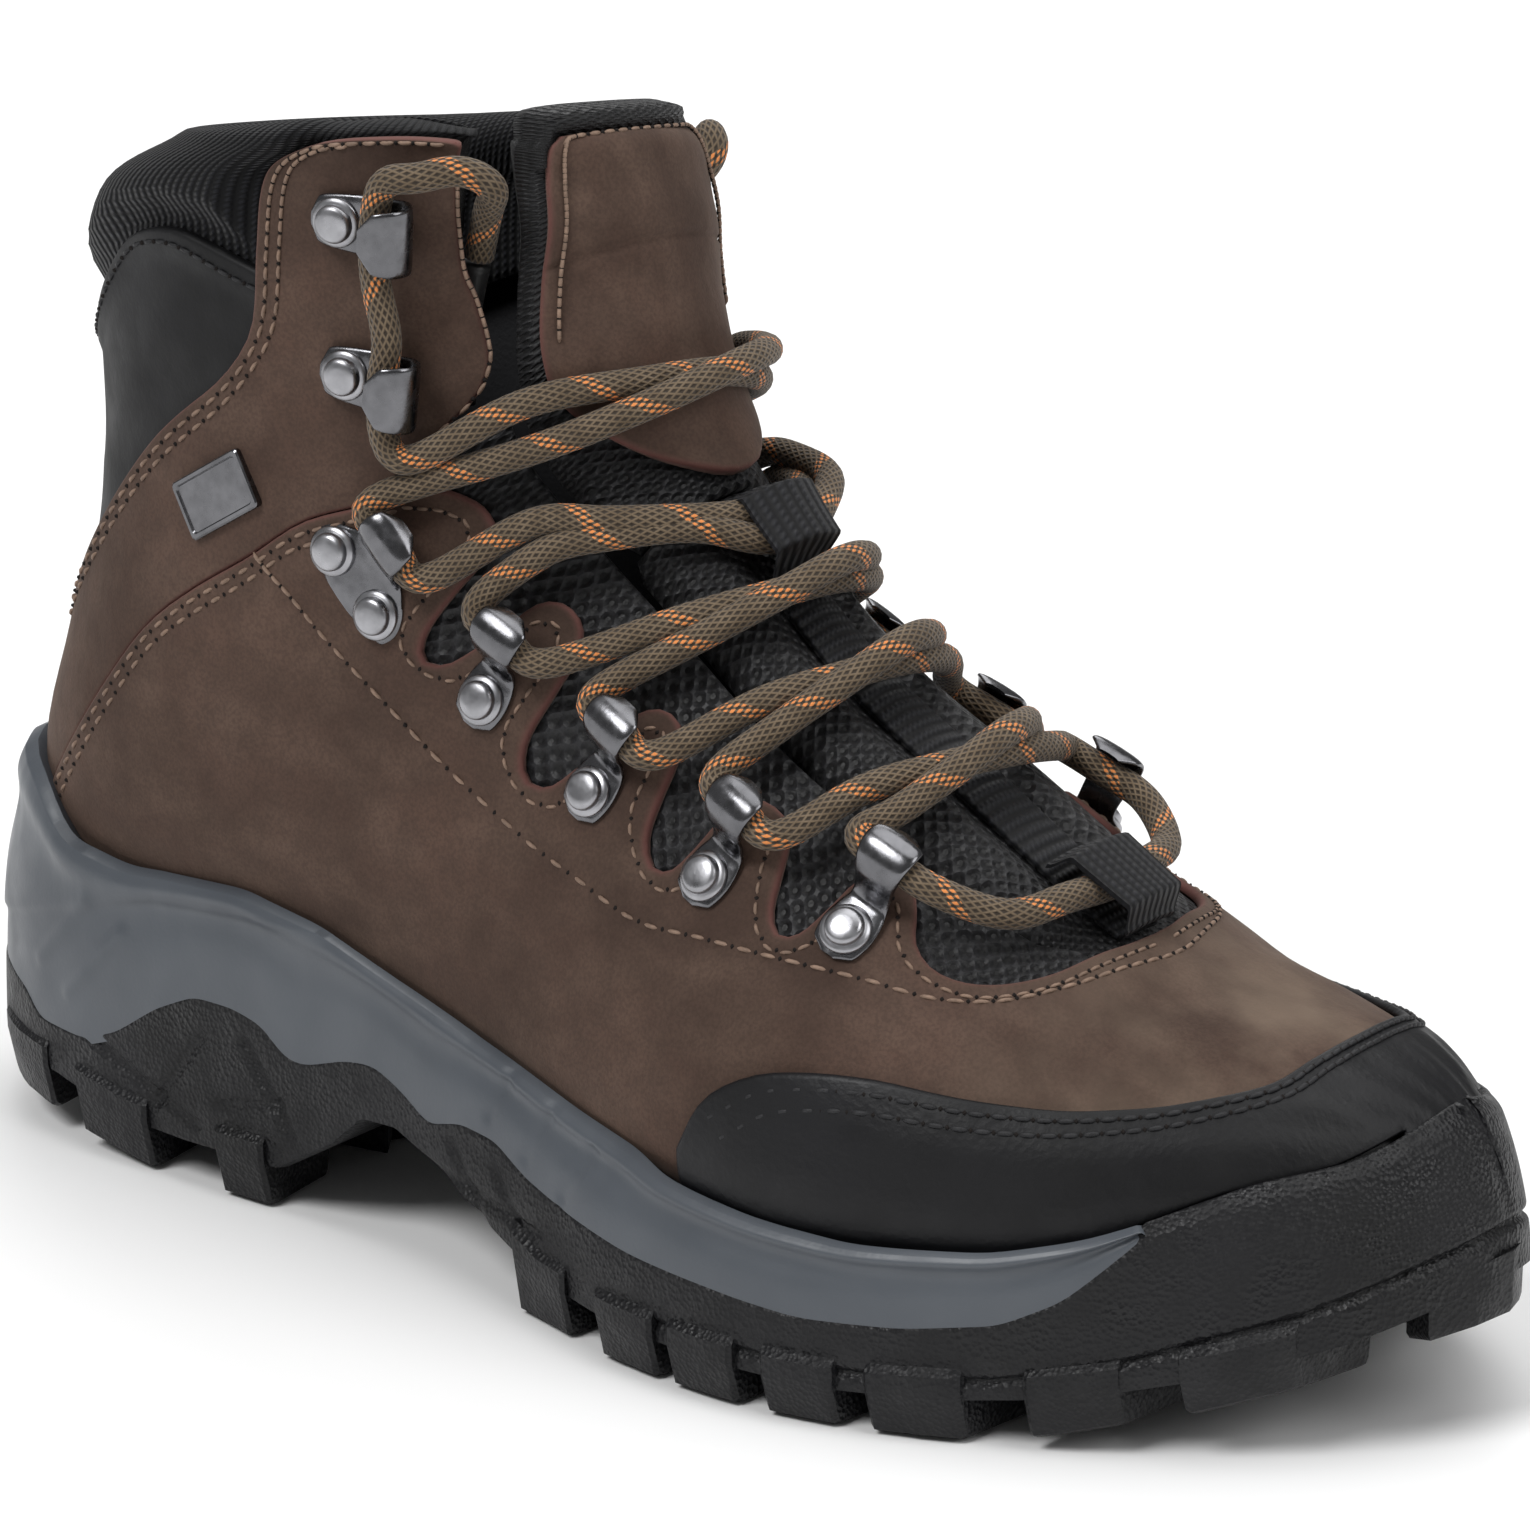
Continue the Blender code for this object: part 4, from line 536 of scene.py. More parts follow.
def metal(name, roughness, colour):
    """Dark plated steel, a little scuffed."""
    p = Paint(name, roughness, 1.0)
    scuff = p.span(p.noise(260, 4.0), 0.35, 0.7)
    p.colour(p.blend(scuff, colour, tuple(c * 0.72 for c in colour)))
    p.rough(p.span(p.noise(500, 4.0), 0.3, 0.75, roughness - 0.08, roughness + 0.12))
    p.relief((p.noise(1800, 3.0), 0.012))
    return p.material


def plain(name, colour, roughness, grain=1500, depth=0.05):
    """A quiet surface: lining, board or plastic."""
    p = Paint(name, roughness, Specular_IOR_Level=0.35)
    cloud = p.span(p.noise(60, 4.0), 0.3, 0.7)
    p.colour(p.blend(cloud, tuple(c * 0.7 for c in colour), colour))
    p.relief((p.noise(grain, 2.0), depth))
    return p.material


LACE_RADIUS = 2.4 * MM
FLECK_PITCH = 15.5 * MM
NUBUCK = nubuck()
RAND = black_leather("toe_rand", 0.10, 0.5)
HEEL = black_leather("heel_synthetic", 0.05, 0.58)
KNIT = knit()
MESH = mesh_cloth("air_mesh", 0.0017)
TONGUE_MESH = mesh_cloth("tongue_mesh", 0.0014, 0.018)
WEBBING = webbing()
BRAID = braid(LACE_RADIUS)
TAN = thread("tan_thread", (0.27, 0.18, 0.13))
BLACK_THREAD = thread("black_thread", (0.020, 0.020, 0.022))
FOAM = foam()
RUBBER = rubber()
GUNMETAL = metal("gunmetal", 0.23, (0.17, 0.17, 0.18))
PALE_METAL = metal("rivet_metal", 0.33, (0.40, 0.40, 0.42))
LINING = plain("lining", (0.018, 0.018, 0.020), 0.85, 1200, 0.2)
# Painted shade in the needle holes between stitches: a dark brown for the small pieces set there.
HOLE_SHADE = plain("stitch_hole_shade", (0.008, 0.005, 0.004), 0.9)
BOARD = plain("fibre_board", (0.30, 0.25, 0.19), 0.85)
PLASTIC = plain("black_plastic", (0.03, 0.03, 0.03), 0.4)
FOOTBED = plain("footbed_cloth", (0.028, 0.028, 0.032), 0.85, 900, 0.25)


def add(name, vertices, faces, material, body="boot", uv=None, edge=None, flat=None):
    """One piece, from vertices in the last's frame; flat is its crease angle in degrees."""
    mesh = bpy.data.meshes.new(name)
    mesh.from_pydata([tuple(p) for p in np.asarray(vertices, float) - SHIFT], [], faces)
    if uv is not None:
        layer = mesh.uv_layers.new(name="UVMap")
        index = np.zeros(len(mesh.loops), int)
        mesh.loops.foreach_get("vertex_index", index)
        layer.data.foreach_set("uv", np.asarray(uv, float)[index].ravel())
    if edge is not None:
        marks = mesh.attributes.new("edge", "FLOAT", "POINT")
        marks.data.foreach_set("value", np.asarray(edge, np.float32))
    mesh.materials.append(material)
    mesh.validate()
    mesh.shade_smooth()
    if flat is not None:
        mesh.set_sharp_from_angle(angle=math.radians(flat))
    obj = bpy.data.objects.new(name, mesh)
    bpy.context.scene.collection.objects.link(obj)
    turn_out(obj)
    if body:
        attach(obj, body)
    return obj


def turn_out(obj):
    """Turns every face to point outwards."""
    bm = bmesh.new()
    bm.from_mesh(obj.data)
    bmesh.ops.recalc_face_normals(bm, faces=bm.faces)
    bm.to_mesh(obj.data)
    bm.free()


def band(a, b, count):
    """Faces between two rings of count points, numbered from a and from b."""
    return [(a + i, a + (i + 1) % count, b + (i + 1) % count, b + i) for i in range(count)]


def side_faces(rings, count, start=0):
    """Faces all round a run of rings of count points, numbered from start."""
    faces = []
    for k in range(rings - 1):
        faces += band(start + k * count, start + (k + 1) * count, count)
    return faces


def tube_faces(rings, count, start=0):
    """The same with a flat face over each end."""
    last = start + (rings - 1) * count
    ends = [tuple(range(start, start + count)), tuple(range(last, last + count))[::-1]]
    return ends + side_faces(rings, count, start)


def dense(corners, step):
    """A closed flat outline with a point at least every step millimetres."""
    loop = []
    for a, b in zip(corners, np.roll(corners, -1, axis=0)):
        parts = max(1, math.ceil(np.linalg.norm(b - a) / step))
        loop += [a + (b - a) * k / parts for k in range(parts)]
    return np.array(loop)


def rings_inside(loop, depths):
    """Points set in from a flat outline by each depth."""
    ahead = np.roll(loop, -1, axis=0) - np.roll(loop, 1, axis=0)
    left = unit(left_of(ahead))
    area = (loop[:, 0] * np.roll(loop[:, 1], -1) - np.roll(loop[:, 0], -1) * loop[:, 1]).sum()
    if area < 0:
        left = -left
    found = []
    for depth in depths:
        moved = loop + left * depth
        moved = moved[inside(moved, loop)]
        found.append(moved[distance(moved, loop) > depth * 0.8])
    return np.vstack(found)


def filled(loop, step, edge_round):
    """Flat points and triangles that fill an outline, with rows set in from the edge to round it."""
    near = rings_inside(loop, (0.22 * edge_round, 0.6 * edge_round, 1.1 * edge_round))
    low, high = loop.min(0), loop.max(0)
    grid = []
    for k, y in enumerate(np.arange(low[1] + step / 2, high[1], step * 0.87)):
        grid += [(x, y) for x in np.arange(low[0] + step * (0.25 + 0.5 * (k % 2)), high[0], step)]
    grid = np.array(grid)
    grid = grid[inside(grid, loop)]
    grid = grid[distance(grid, loop) > 1.1 * edge_round + step * 0.4]
    points = [Vector(p) for p in np.vstack([loop, near, grid])]
    edges = [(i, (i + 1) % len(loop)) for i in range(len(loop))]
    found = delaunay_2d_cdt(points, edges, [], 0, 1e-6)
    flat = np.array([tuple(v) for v in found[0]])
    centres = np.array([flat[list(f)].mean(0) for f in found[2]])
    return flat, [tuple(f) for f, keep in zip(found[2], inside(centres, loop)) if keep]


def panel(name, outline, outer, inner, material, node, step=3.2, edge_step=1.2, body="boot",
          edge_round=0.8):
    """A sheet cut to outline; outer may be a function of (s, u, distance from the edge)."""
    loop = dense(np.asarray(outline, float) * FLAT, edge_step)
    flat, triangles = filled(loop, step, edge_round)
    away = distance(flat, loop)
    s, u = flat[:, 0] / S_SIZE, flat[:, 1] / U_SIZE
    top = outer(s, u, away) if callable(outer) else np.full(len(s), outer)
    base = np.full(len(s), inner)
    reach = np.clip(away / edge_round, 0, 1)
    drop = min(edge_round, 0.9) * (1 - np.sqrt(1 - (1 - reach) ** 2))
    top = np.maximum(top - drop, (top + base) / 2)
    vertices = np.vstack([over(s, u, top), over(s, u, base)])
    count = len(flat)
    faces = triangles + [tuple(i + count for i in f[::-1]) for f in triangles]
    uses = {(a, b) for f in triangles for a, b in zip(f, f[1:] + f[:1])}
    faces += [(b, a, a + count, b + count) for a, b in uses if (b, a) not in uses]
    raw = np.clip(1 - away / (edge_round * 0.75), 0, 1)
    uv = np.vstack([flat, flat]) * MM
    obj = add(name, vertices, faces, material, body, uv, np.r_[raw, np.ones(count)])
    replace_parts(obj, node)
    return obj


def seam_line(points, pitch, offset):
    """Stitch centres along a line of (s, u) points, moved sideways by offset millimetres."""
    line = spline(points, len(points) * 10) * FLAT
    line = even(line, 400)
    line = line + left_of(unit(np.gradient(line, axis=0))) * offset
    return even(line, max(3, int(run(line)[-1] / pitch))) / FLAT


def capsules(line, height, length, radius, lift, rings):
    """Vertices and faces of one small arched capsule at each place on a (s, u) line."""
    sides = 6
    ends = over(line[:, 0], line[:, 1], height)
    normal = unit(over(line[:, 0], line[:, 1], height + 1) - ends)
    ahead = np.gradient(ends, axis=0)
    ahead = unit(ahead - normal * (ahead * normal).sum(1, keepdims=True))
    side = np.cross(normal, ahead)
    vertices, faces = [], []
    for k in range(len(line)):
        start = len(vertices)
        for t in np.linspace(-1, 1, rings):
            swell = radius * (0.35 + 0.65 * math.sqrt(max(0.0, 1 - abs(t) ** 3)))
            centre = ends[k] + (ahead[k] * t * length / 2 + normal[k] * (lift * (1 - t * t) - 0.25)) * MM
            vertices += [centre + (side[k] * math.cos(a) + normal[k] * math.sin(a)) * swell * MM
                         for a in circle(sides)]
        faces += tube_faces(rings, sides, start)
    return vertices, faces


def stitch(name, lines, height, material, body="boot", pitch=2.9, length=2.5, radius=0.34):
    """Rows of stitches as one piece, with painted shade in their needle holes as another."""
    rows = [seam_line(points, pitch, offset) for points, offset in lines]
    gaps = [(row[1:] + row[:-1]) / 2 for row in rows]
    # The second kind is painted shade: small dark pieces sunk in the needle holes.
    for kind, paint, places, shape in (("", material, rows, (length, radius, 0.34, 5)),
                                       ("_hole_shade", HOLE_SHADE, gaps, (0.75, 0.42, 0.22, 3))):
        vertices, faces = [], []
        for line in places:
            new, more = capsules(line, height, *shape)
            faces += [tuple(i + len(vertices) for i in f) for f in more]
            vertices += new
        add(name + kind, vertices, faces, paint, body)


def mirrored(points):
    """The same line on the other side of the boot, run the other way."""
    return [(s, -u) for s, u in reversed(points)]


# Each side's name, with what turns an outer-side outline into its own.
SIDES = (("lateral", list), ("medial", mirrored))


def thin(points, step):
    """A smooth line through points, with a point about every step millimetres."""
    line = spline(points, len(points) * 6)
    scaled = line * FLAT
    return [tuple(p) for p in even(scaled, max(3, int(run(scaled)[-1] / step))) / FLAT]


def rim_u(s, side):
    """u where section s meets the sole's rim, on side -1 or +1."""
    low, high = 0.0, 1.0
    for _ in range(30):
        middle = (low + high) / 2
        x, _, z = LAST.point(s, side * middle) / MM
        if z > table(RIM, x * 1.08):
            low = middle
        else:
            high = middle
    return side * low


FEATHER_HALF = 90


def feather():
    """Places (s, u) where upper and sole meet: up the outer side to the toe, and back on the inner side."""
    stations = np.linspace(13.35, 1.72, FEATHER_HALF)
    lateral = [(s, rim_u(s, -1)) for s in stations]
    medial = [(s, rim_u(s, 1)) for s in stations[::-1]]
    return np.array(lateral + medial)


FEATHER = feather()


def tucked(s_from, s_to, side, depth, count):
    """Points a little below the rim, on one side, where a panel ends inside the sole."""
    rows = FEATHER[:FEATHER_HALF] if side < 0 else FEATHER[FEATHER_HALF:][::-1]
    s = np.linspace(s_from, s_to, count)
    u = np.interp(s, rows[::-1, 0], np.abs(rows[::-1, 1]))
    return [(a, side * min(b + depth, 0.985)) for a, b in zip(s, u)]


def smooth_ring(values, width):
    """A closed run of values, averaged over width places each way."""
    weights = np.hanning(2 * width + 3)[1:-1]
    around = np.r_[values[-width:], values, values[:width]]
    return np.convolve(around, weights / weights.sum(), "valid")


class Sole:
    """The sole's side wall at COUNT places round it, from the heel round the toe."""

    COUNT = 880

    def __init__(self):
        """Plan lines and heights round the sole, in millimetres; front is 1 where the toe bumper is."""
        line = LAST.point(FEATHER[:, 0], FEATHER[:, 1]) / MM
        self.inner = even(line, self.COUNT, closed=True)
        wall = even(spline(WALL_LATERAL + WALL_MEDIAL + WALL_LATERAL[:1], 1200), 6000)
        self.outer = np.array([self.across(wall, i) for i in range(self.COUNT)])
        self.outer = np.stack([smooth_ring(self.outer[:, k], 9) for k in range(2)], 1)
        x = self.outer[:, 0]
        self.rim = smooth_ring(table(RIM, x), 8)
        self.lobe = np.minimum(smooth_ring(table(LOBES, x), 5), self.rim)
        self.front = smoothstep(104.0, 112.0, x)
        # The rim stands off the leather, further where the toe cap lies over it.
        self.lip = 0.8 + 2.2 * smoothstep(16.0, 30.0, self.inner[:, 0])
        self.tread = table(TREAD, x)

    def across(self, wall, i):
        """The wall point straight out from inner point i."""
        ahead = self.inner[(i + 1) % len(self.inner)] - self.inner[i - 1]
        out = unit(np.array([ahead[1], -ahead[0]]))
        away = wall - self.inner[i, :2]
        along = away @ out
        off = np.abs(away @ [-out[1], out[0]])
        score = np.where(along > -4, off, 1e9)
        return wall[np.argmin(score + 0.15 * np.abs(along))]

    def shifted(self, base, amount):
        """A plan line moved in by amount, towards the inside of the boot."""
        ahead = np.roll(base, -1, axis=0) - np.roll(base, 1, axis=0)
        out = unit(-left_of(ahead))
        centre = base[:, :2].mean(0)
        if ((base[:, :2] - centre) * out).sum() < 0:
            out = -out
        return base[:, :2] - out * np.reshape(amount, (-1, 1))

    def wall(self, z):
        """Plan of the side wall at height z: it leans in to the rim, and in a little at the ground."""
        share = np.clip((z - 8.0) / (self.rim - 8.0), 0, 1)[:, None]
        top = self.shifted(self.inner[:, :2], -self.lip - 1.1)
        plan = self.outer * (1 - share**3) + top * share**3
        return self.shifted(plan, np.clip((14.0 - z) / 14.0, 0, 1) * 1.6)

    def off_leather(self, amount, z, skin):
        """Plan that stands off the leather by amount, kept skin inside the side wall at height z."""
        reach = self.wall(z) - self.inner[:, :2]
        far = np.linalg.norm(reach, axis=1)
        share = np.minimum(amount, far - skin) / far
        return self.inner[:, :2] + reach * share[:, None]

    def floor(self, plan):
        """Height of the tray's floor under each point of a plan line."""
        return np.minimum(table(CORE, plan[:, 0]), self.lobe - 1.6)

    def ring(self, plan, z):
        """A plan line as points at height z."""
        return np.column_stack([plan, np.broadcast_to(z, len(plan))]) * MM


def groove(x, z, start, end, width, depth):
    """Depth of a rounded groove along a straight run in (x, z)."""
    a, b = np.array(start, float), np.array(end, float)
    d = b - a
    t = np.clip(((x - a[0]) * d[0] + (z - a[1]) * d[1]) / (d @ d), 0, 1)
    away = np.hypot(x - a[0] - t * d[0], z - a[1] - t * d[1])
    return -depth * np.exp(-((away / width) ** 2) * 1.2)


# Moulded marks on the side walls, as (start (x, z), end (x, z), width, depth).
FOAM_MARKS = [((-123, 31), (-110, 44), 1.5, -0.45), ((-115, 27), (-102, 40), 1.5, -0.45),
              ((-15, 30), (-10, 39), 1.4, 0.45), ((-5, 26), (0, 35), 1.4, 0.45),
              ((5, 23), (10, 31), 1.4, 0.45)]
RUBBER_MARKS = [((-112, 22), (-84, 11), 1.3, 0.8), ((-93, 13), (-82, 27), 1.3, 0.8),
                ((-72, 28), (-62, 14), 1.3, 0.8), ((-78, 16), (-64, 19), 1.2, 0.6),
                ((-24, 23), (-15, 12), 1.3, 0.7), ((-12, 22), (-3, 10), 1.3, 0.7),
                ((-32, 18), (0, 15), 1.2, 0.6)]
# The line pressed along the rubber's side, as (x, z).
BELT = [(20, 9.3), (38, 9.5), (56, 9), (71, 9.2), (85, 10.6), (99, 14.1), (112, 18.9), (124, 23.1),
        (133, 27.5), (140, 31.4), (144, 34.4), (151, 36)]


def wall_grid(sole, bottom, top, levels, relief):
    """Rings of side wall at levels from 0 at bottom to 1 at top, moved out by relief(x, z, level)."""
    rings, flats = [], []
    along = run(sole.outer)
    for share in levels:
        z = bottom + (top - bottom) * share
        plan = sole.wall(z)
        x = plan[:, 0]
        plan = sole.shifted(plan, -relief(x, z, share))
        rings.append(sole.ring(plan, z))
        flats.append(np.column_stack([along, np.broadcast_to(z, along.shape)]) * MM)
    return rings, flats


def lofted(name, rings, flats, material, node, body="boot", flat=None):
    """A closed skin over plan rings, with strips across the first and the last."""
    count = len(rings[0])
    faces = side_faces(len(rings), count) + plan_cap(count, 0) + plan_cap(count, (len(rings) - 1) * count)
    obj = add(name, np.vstack(rings), faces, material, body, np.vstack(flats), flat=flat)
    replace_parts(obj, node)
    return obj


def plan_cap(count, start):
    """Strips across a ring of count points, numbered from start at the heel and round the toe."""
    return [(start + i, start + i + 1, start + count - 2 - i, start + count - 1 - i)
            for i in range(count // 2 - 1)]


def build_midsole(sole):
    """The grey foam: a cup round the upper, with a rounded crest, moulded lines and a swoosh at the heel."""
    def relief(x, z, share):
        out = 0.9 * np.exp(-((share - 0.9) / 0.08) ** 2) - 0.5 * np.exp(-((share - 0.7) / 0.16) ** 2)
        out = out * (1 - sole.front)
        # The heel facet: proud behind a line that falls from the crest towards the arch.
        line = np.interp(x, [-140, -118, -95, -70, -45], [34, 41, 47, 49, 50])
        out = out + 0.7 * smoothstep(-1.0, 1.0, z - line) * (1 - smoothstep(-80, -40, x))
        for mark in FOAM_MARKS:
            out = out + groove(x, z, *mark)
        return out

    levels = np.r_[np.linspace(0.0, 0.86, 34), np.linspace(0.88, 0.985, 9)]
    rings, flats = wall_grid(sole, sole.lobe - 2.2, sole.rim - 0.2, levels, relief)
    rings.append(sole.ring(sole.shifted(sole.wall(sole.rim), 0.9), sole.rim + 0.1))
    rings.append(sole.ring(sole.shifted(sole.inner[:, :2], 0.6 - sole.lip), sole.rim - 0.6))
    rings.append(sole.ring(sole.shifted(sole.inner[:, :2], 3.5), sole.rim - 5.5))
    flats += [flats[-1]] * 3
    # Behind the toe bumper the foam narrows to a bed under the upper.
    bed = sole.shifted(sole.inner[:, :2], 6.0)
    for k, ring in enumerate(rings):
        low = sole.floor(bed) + 2.0 + 2.0 * k / len(rings)
        inside_toe = sole.ring(bed, low)
        rings[k] = ring + (inside_toe - ring) * sole.front[:, None]
    lofted("midsole_skin", rings, flats, FOAM, "midsole", flat=50)


def build_outsole(sole):
    """The rubber side: lobes over the foam, belts and panel lines, and the bumper round the toe."""
    def relief(x, z, share):
        out = 0.2 - 0.9 * np.exp(-((1 - share) / 0.05) ** 2)
        belt = table(BELT, x)
        out = out - 1.0 * np.exp(-(((z - belt) / 0.75) ** 2)) * smoothstep(18, 26, x)
        for mark in RUBBER_MARKS:
            out = out + groove(x, z, *mark)
        return out

    levels = np.r_[np.linspace(0.0, 0.9, 56), np.linspace(0.91, 1.0, 12)]
    bottom = np.minimum(sole.tread, sole.lobe - 5)
    rings, flats = wall_grid(sole, bottom, sole.lobe, levels, relief)
    under = sole.ring(sole.shifted(sole.wall(bottom), 2.0), bottom - 0.5)
    rings.insert(0, under)
    flats.insert(0, flats[0])
    for inset, drop in ((0.7, -0.15), (1.7, 0.35), (4.5, 2.5)):
        z = sole.lobe - drop
        plan = sole.shifted(sole.wall(sole.lobe), inset)
        # At the toe the rubber reaches in to the leather.
        meets = sole.off_leather(7.5 - 1.5 * inset, z, 0.5 + inset)
        rings.append(sole.ring(plan + (meets - plan) * sole.front[:, None], z))
        flats.append(flats[-1])
    lofted("outsole_shell", rings, flats, RUBBER, "outsole", flat=50)


def side_lug(sole, back, front, share, side):
    """One tread block that wraps the sole's edge, as rings across it from back to front."""
    rim = np.where(np.sign(sole.outer[:, 1] - 2.0) == side)[0]
    slant = 3.0 if back > WAIST else -2.0
    rings = []
    stations = np.r_[back, np.linspace(back + 0.8, front - 0.8, 7), front]
    for x in stations:
        i = rim[np.argmin(np.abs(sole.outer[rim, 0] - x))]
        edge = sole.outer[i, 1]
        near = edge * share
        foot, tread = float(table(LUG_FOOT, x)), float(table(TREAD, x))
        top = min(tread + 5.5, float(sole.lobe[i]) - 2.0)
        # The two end rings are a little smaller, which rounds the block's corners.
        less = 0.6 if x in (back, front) else 0.0
        rows = [(near, tread + 0.6, slant), (near + side * 0.7, foot + 0.5 + less, slant),
                (near + side * 1.4, foot + less * 0.5, slant),
                (edge - side * (2.2 + less), foot + less * 0.5, 0),
                (edge - side * (1.0 + less), foot + 0.6 + less, 0),
                (edge + side * (1.0 - less), tread + 1.0, 0),
                (edge + side * (1.1 - less), top - 1.5, 0), (edge - side * 0.4, top, 0),
                (edge - side * 4.0, top, 0)]
        rings.append(np.array([(x + lean, y, z) for y, z, lean in rows]) * MM)
    return rings


def plan_lug(outline, sizes, above):
    """One tread block under a plan outline, as rings from above the tread down to its smaller foot."""
    outline = np.array(outline, float)
    centre = outline.mean(0)
    rings = []
    for size, lift in zip(sizes, (1.0, 0.12, 0.0)):
        ring = centre + (outline - centre) * size
        foot, tread = table(LUG_FOOT, ring[:, 0]), table(TREAD, ring[:, 0])
        rings.append(np.column_stack([ring, foot + (tread + above - foot) * lift]) * MM)
    return rings


def build_lugs(sole):
    """The tread: blocks down each side, chevrons along the middle and a toe block."""
    blocks = [side_lug(sole, *lug, side) for lug in SIDE_LUGS for side in (-1, 1)]
    for back, front in MID_LUGS:
        y, wide, point = (2.0, 12.0, 5.0) if back > WAIST else (0.0, 8.0, -4.0)
        tip = front - 2
        outline = [(back, y - wide), (tip, y - wide + 2), (tip + point, y), (tip, y + wide - 2),
                   (back, y + wide), (back + point, y)]
        blocks.append(plan_lug(outline, (1.0, 0.97, 0.92), 1.0))
    blocks.append(plan_lug(TOE_LUG, (1.0, 0.98, 0.93), 4.0))
    vertices, faces = [], []
    for rings in blocks:
        faces += tube_faces(len(rings), len(rings[0]), len(vertices))
        vertices += [point for ring in rings for point in ring]
    add("tread_blocks", vertices, faces, RUBBER, flat=35)


def build_footbed(sole):
    """What is seen looking in: the footbed with its raised heel cup."""
    line = even(sole.shifted(sole.inner[:, :2], 10.5), 200, closed=True)
    rings, flats = [], []
    for inset, lift in ((0.0, 2.2), (0.0, 4.6), (0.6, 5.7), (3.0, 5.9), (9.0, 5.2)):
        ring = sole.shifted(line, inset)
        rings.append(np.column_stack([ring, table(BED, ring[:, 0]) + lift]) * MM)
        flats.append(ring * MM)
    obj = lofted("footbed_cloth", rings, flats, FOOTBED, "footbed", "footbed")


def held(place, x, y, z):
    """A point near a fitting, by millimetres towards the tongue, up the facing and off the boot."""
    point, normal, up, inward = place
    return point + (inward * x + up * y + normal * z) * MM


# The two strands under the top keeper, from the lateral side to the medial one, as (s, u, height).
KEPT_RISING = [(11.2, -0.205, 4.6), (11.0, -0.16, 4.8), (10.6, -0.09, 4.2), (10.22, -0.04, 2.9),
               (10.15, 0.0, 2.7), (10.22, 0.045, 2.8), (10.42, 0.08, 5.2), (10.7, 0.115, 8.0),
               (11.05, 0.145, 6.8), (11.4, 0.19, 4.8)]
KEPT_FALLING = [(11.45, -0.195, 4.6), (11.1, -0.15, 5.2), (10.75, -0.1, 4.6), (10.5, -0.045, 3.0),
                (10.45, 0.0, 2.8), (10.45, 0.045, 2.9), (10.55, 0.1, 3.3), (10.9, 0.15, 4.2),
                (11.15, 0.2, 4.6)]
# The free end: up from inside, over the flap's edge.
TAIL = [(13.1, 0.238, -10.2), (14.0, 0.232, -9.8), (15.0, 0.214, -7.6), (15.7, 0.2, -2.5),
        (16.15, 0.193, 2.6), (16.6, 0.205, 5.2), (17.0, 0.235, 5.8)]
# How far the strands from each pair of fittings dip towards the toe in the middle, in sections.
SAG = (0.42, 0.5, 0.65, 0.0, 1.1)


def crossing(low, high, rising_from_lateral):
    """Points over the tongue from fitting low on one side to fitting high on the other."""
    if (low, high) == (3, 4):
        rows = KEPT_RISING if rising_from_lateral else KEPT_FALLING[::-1]
        return [over(*row) for row in rows]
    stations = [s for s, _ in LOOPS] + [LOCK[0], HOOKS[0][0] - 0.45]
    s0 = stations[low] + 0.3
    s1 = stations[high] - (0.35 if high == 5 else 0.25)
    side = -1 if rising_from_lateral else 1
    lift = 2.6 if rising_from_lateral else -2.5
    base = 6.2 if high == 5 else 5.6
    shoulder = base - 0.5 + 0.6 * lift
    points = []
    for t, h in ((0.17, 4.4), (0.36, shoulder), (0.5, base + lift), (0.64, shoulder), (0.83, 4.4)):
        s = s0 + (s1 - s0) * (0.1 + 0.8 * t) - SAG[low] * 4 * t * (1 - t)
        points.append(over(s, side * (0.235 - 0.47 * t), h))
    return points


def lace_path(lateral, medial):
    """Points of the single lace, from its lateral end to its medial end.

    Fittings are numbered up each side: loops 0 to 3, lock 4, hooks 5 and 6.
    """
    def rising(place):
        return [held(place, 11.9, y, 4.55) for y in (-7.6, 0.0, 7.6)]

    def hook_rising(place):
        rows = ((15, -9.8, 4.8), (10.0, -8.8, 4.7), (8.0, 0, 4.6), (8.4, 8, 4.4))
        return [held(place, *row) for row in rows]

    def tail(side, places):
        rows = ((15, 10.2, 5.4), (9.6, 9.0, 5.0), (7.9, 0, 4.6), (8.4, -8, 4.4))
        return [over(s, side * u, h) for s, u, h in TAIL] + [held(places[6], *row) for row in rows]

    halves = []
    for side, here in ((-1, medial), (1, lateral)):
        # Both halves rise from the bottom bar; this one ends on the given side.
        points = []
        for k in range(5):
            points += rising(here[k])
            points += crossing(k, k + 1, here is lateral)
            here = lateral if here is medial else medial
        points += hook_rising(here[5]) + tail(side, here)[::-1]
        halves.append(points)
    bottom = [over(7.25 - 0.35 * math.sin(math.pi * t), 0.22 - 0.44 * t, h)
              for t, h in ((0.12, 3.8), (0.3, 2.8), (0.5, 1.4), (0.7, 2.8), (0.88, 3.8))]
    return np.array(halves[0][::-1] + bottom + halves[1])


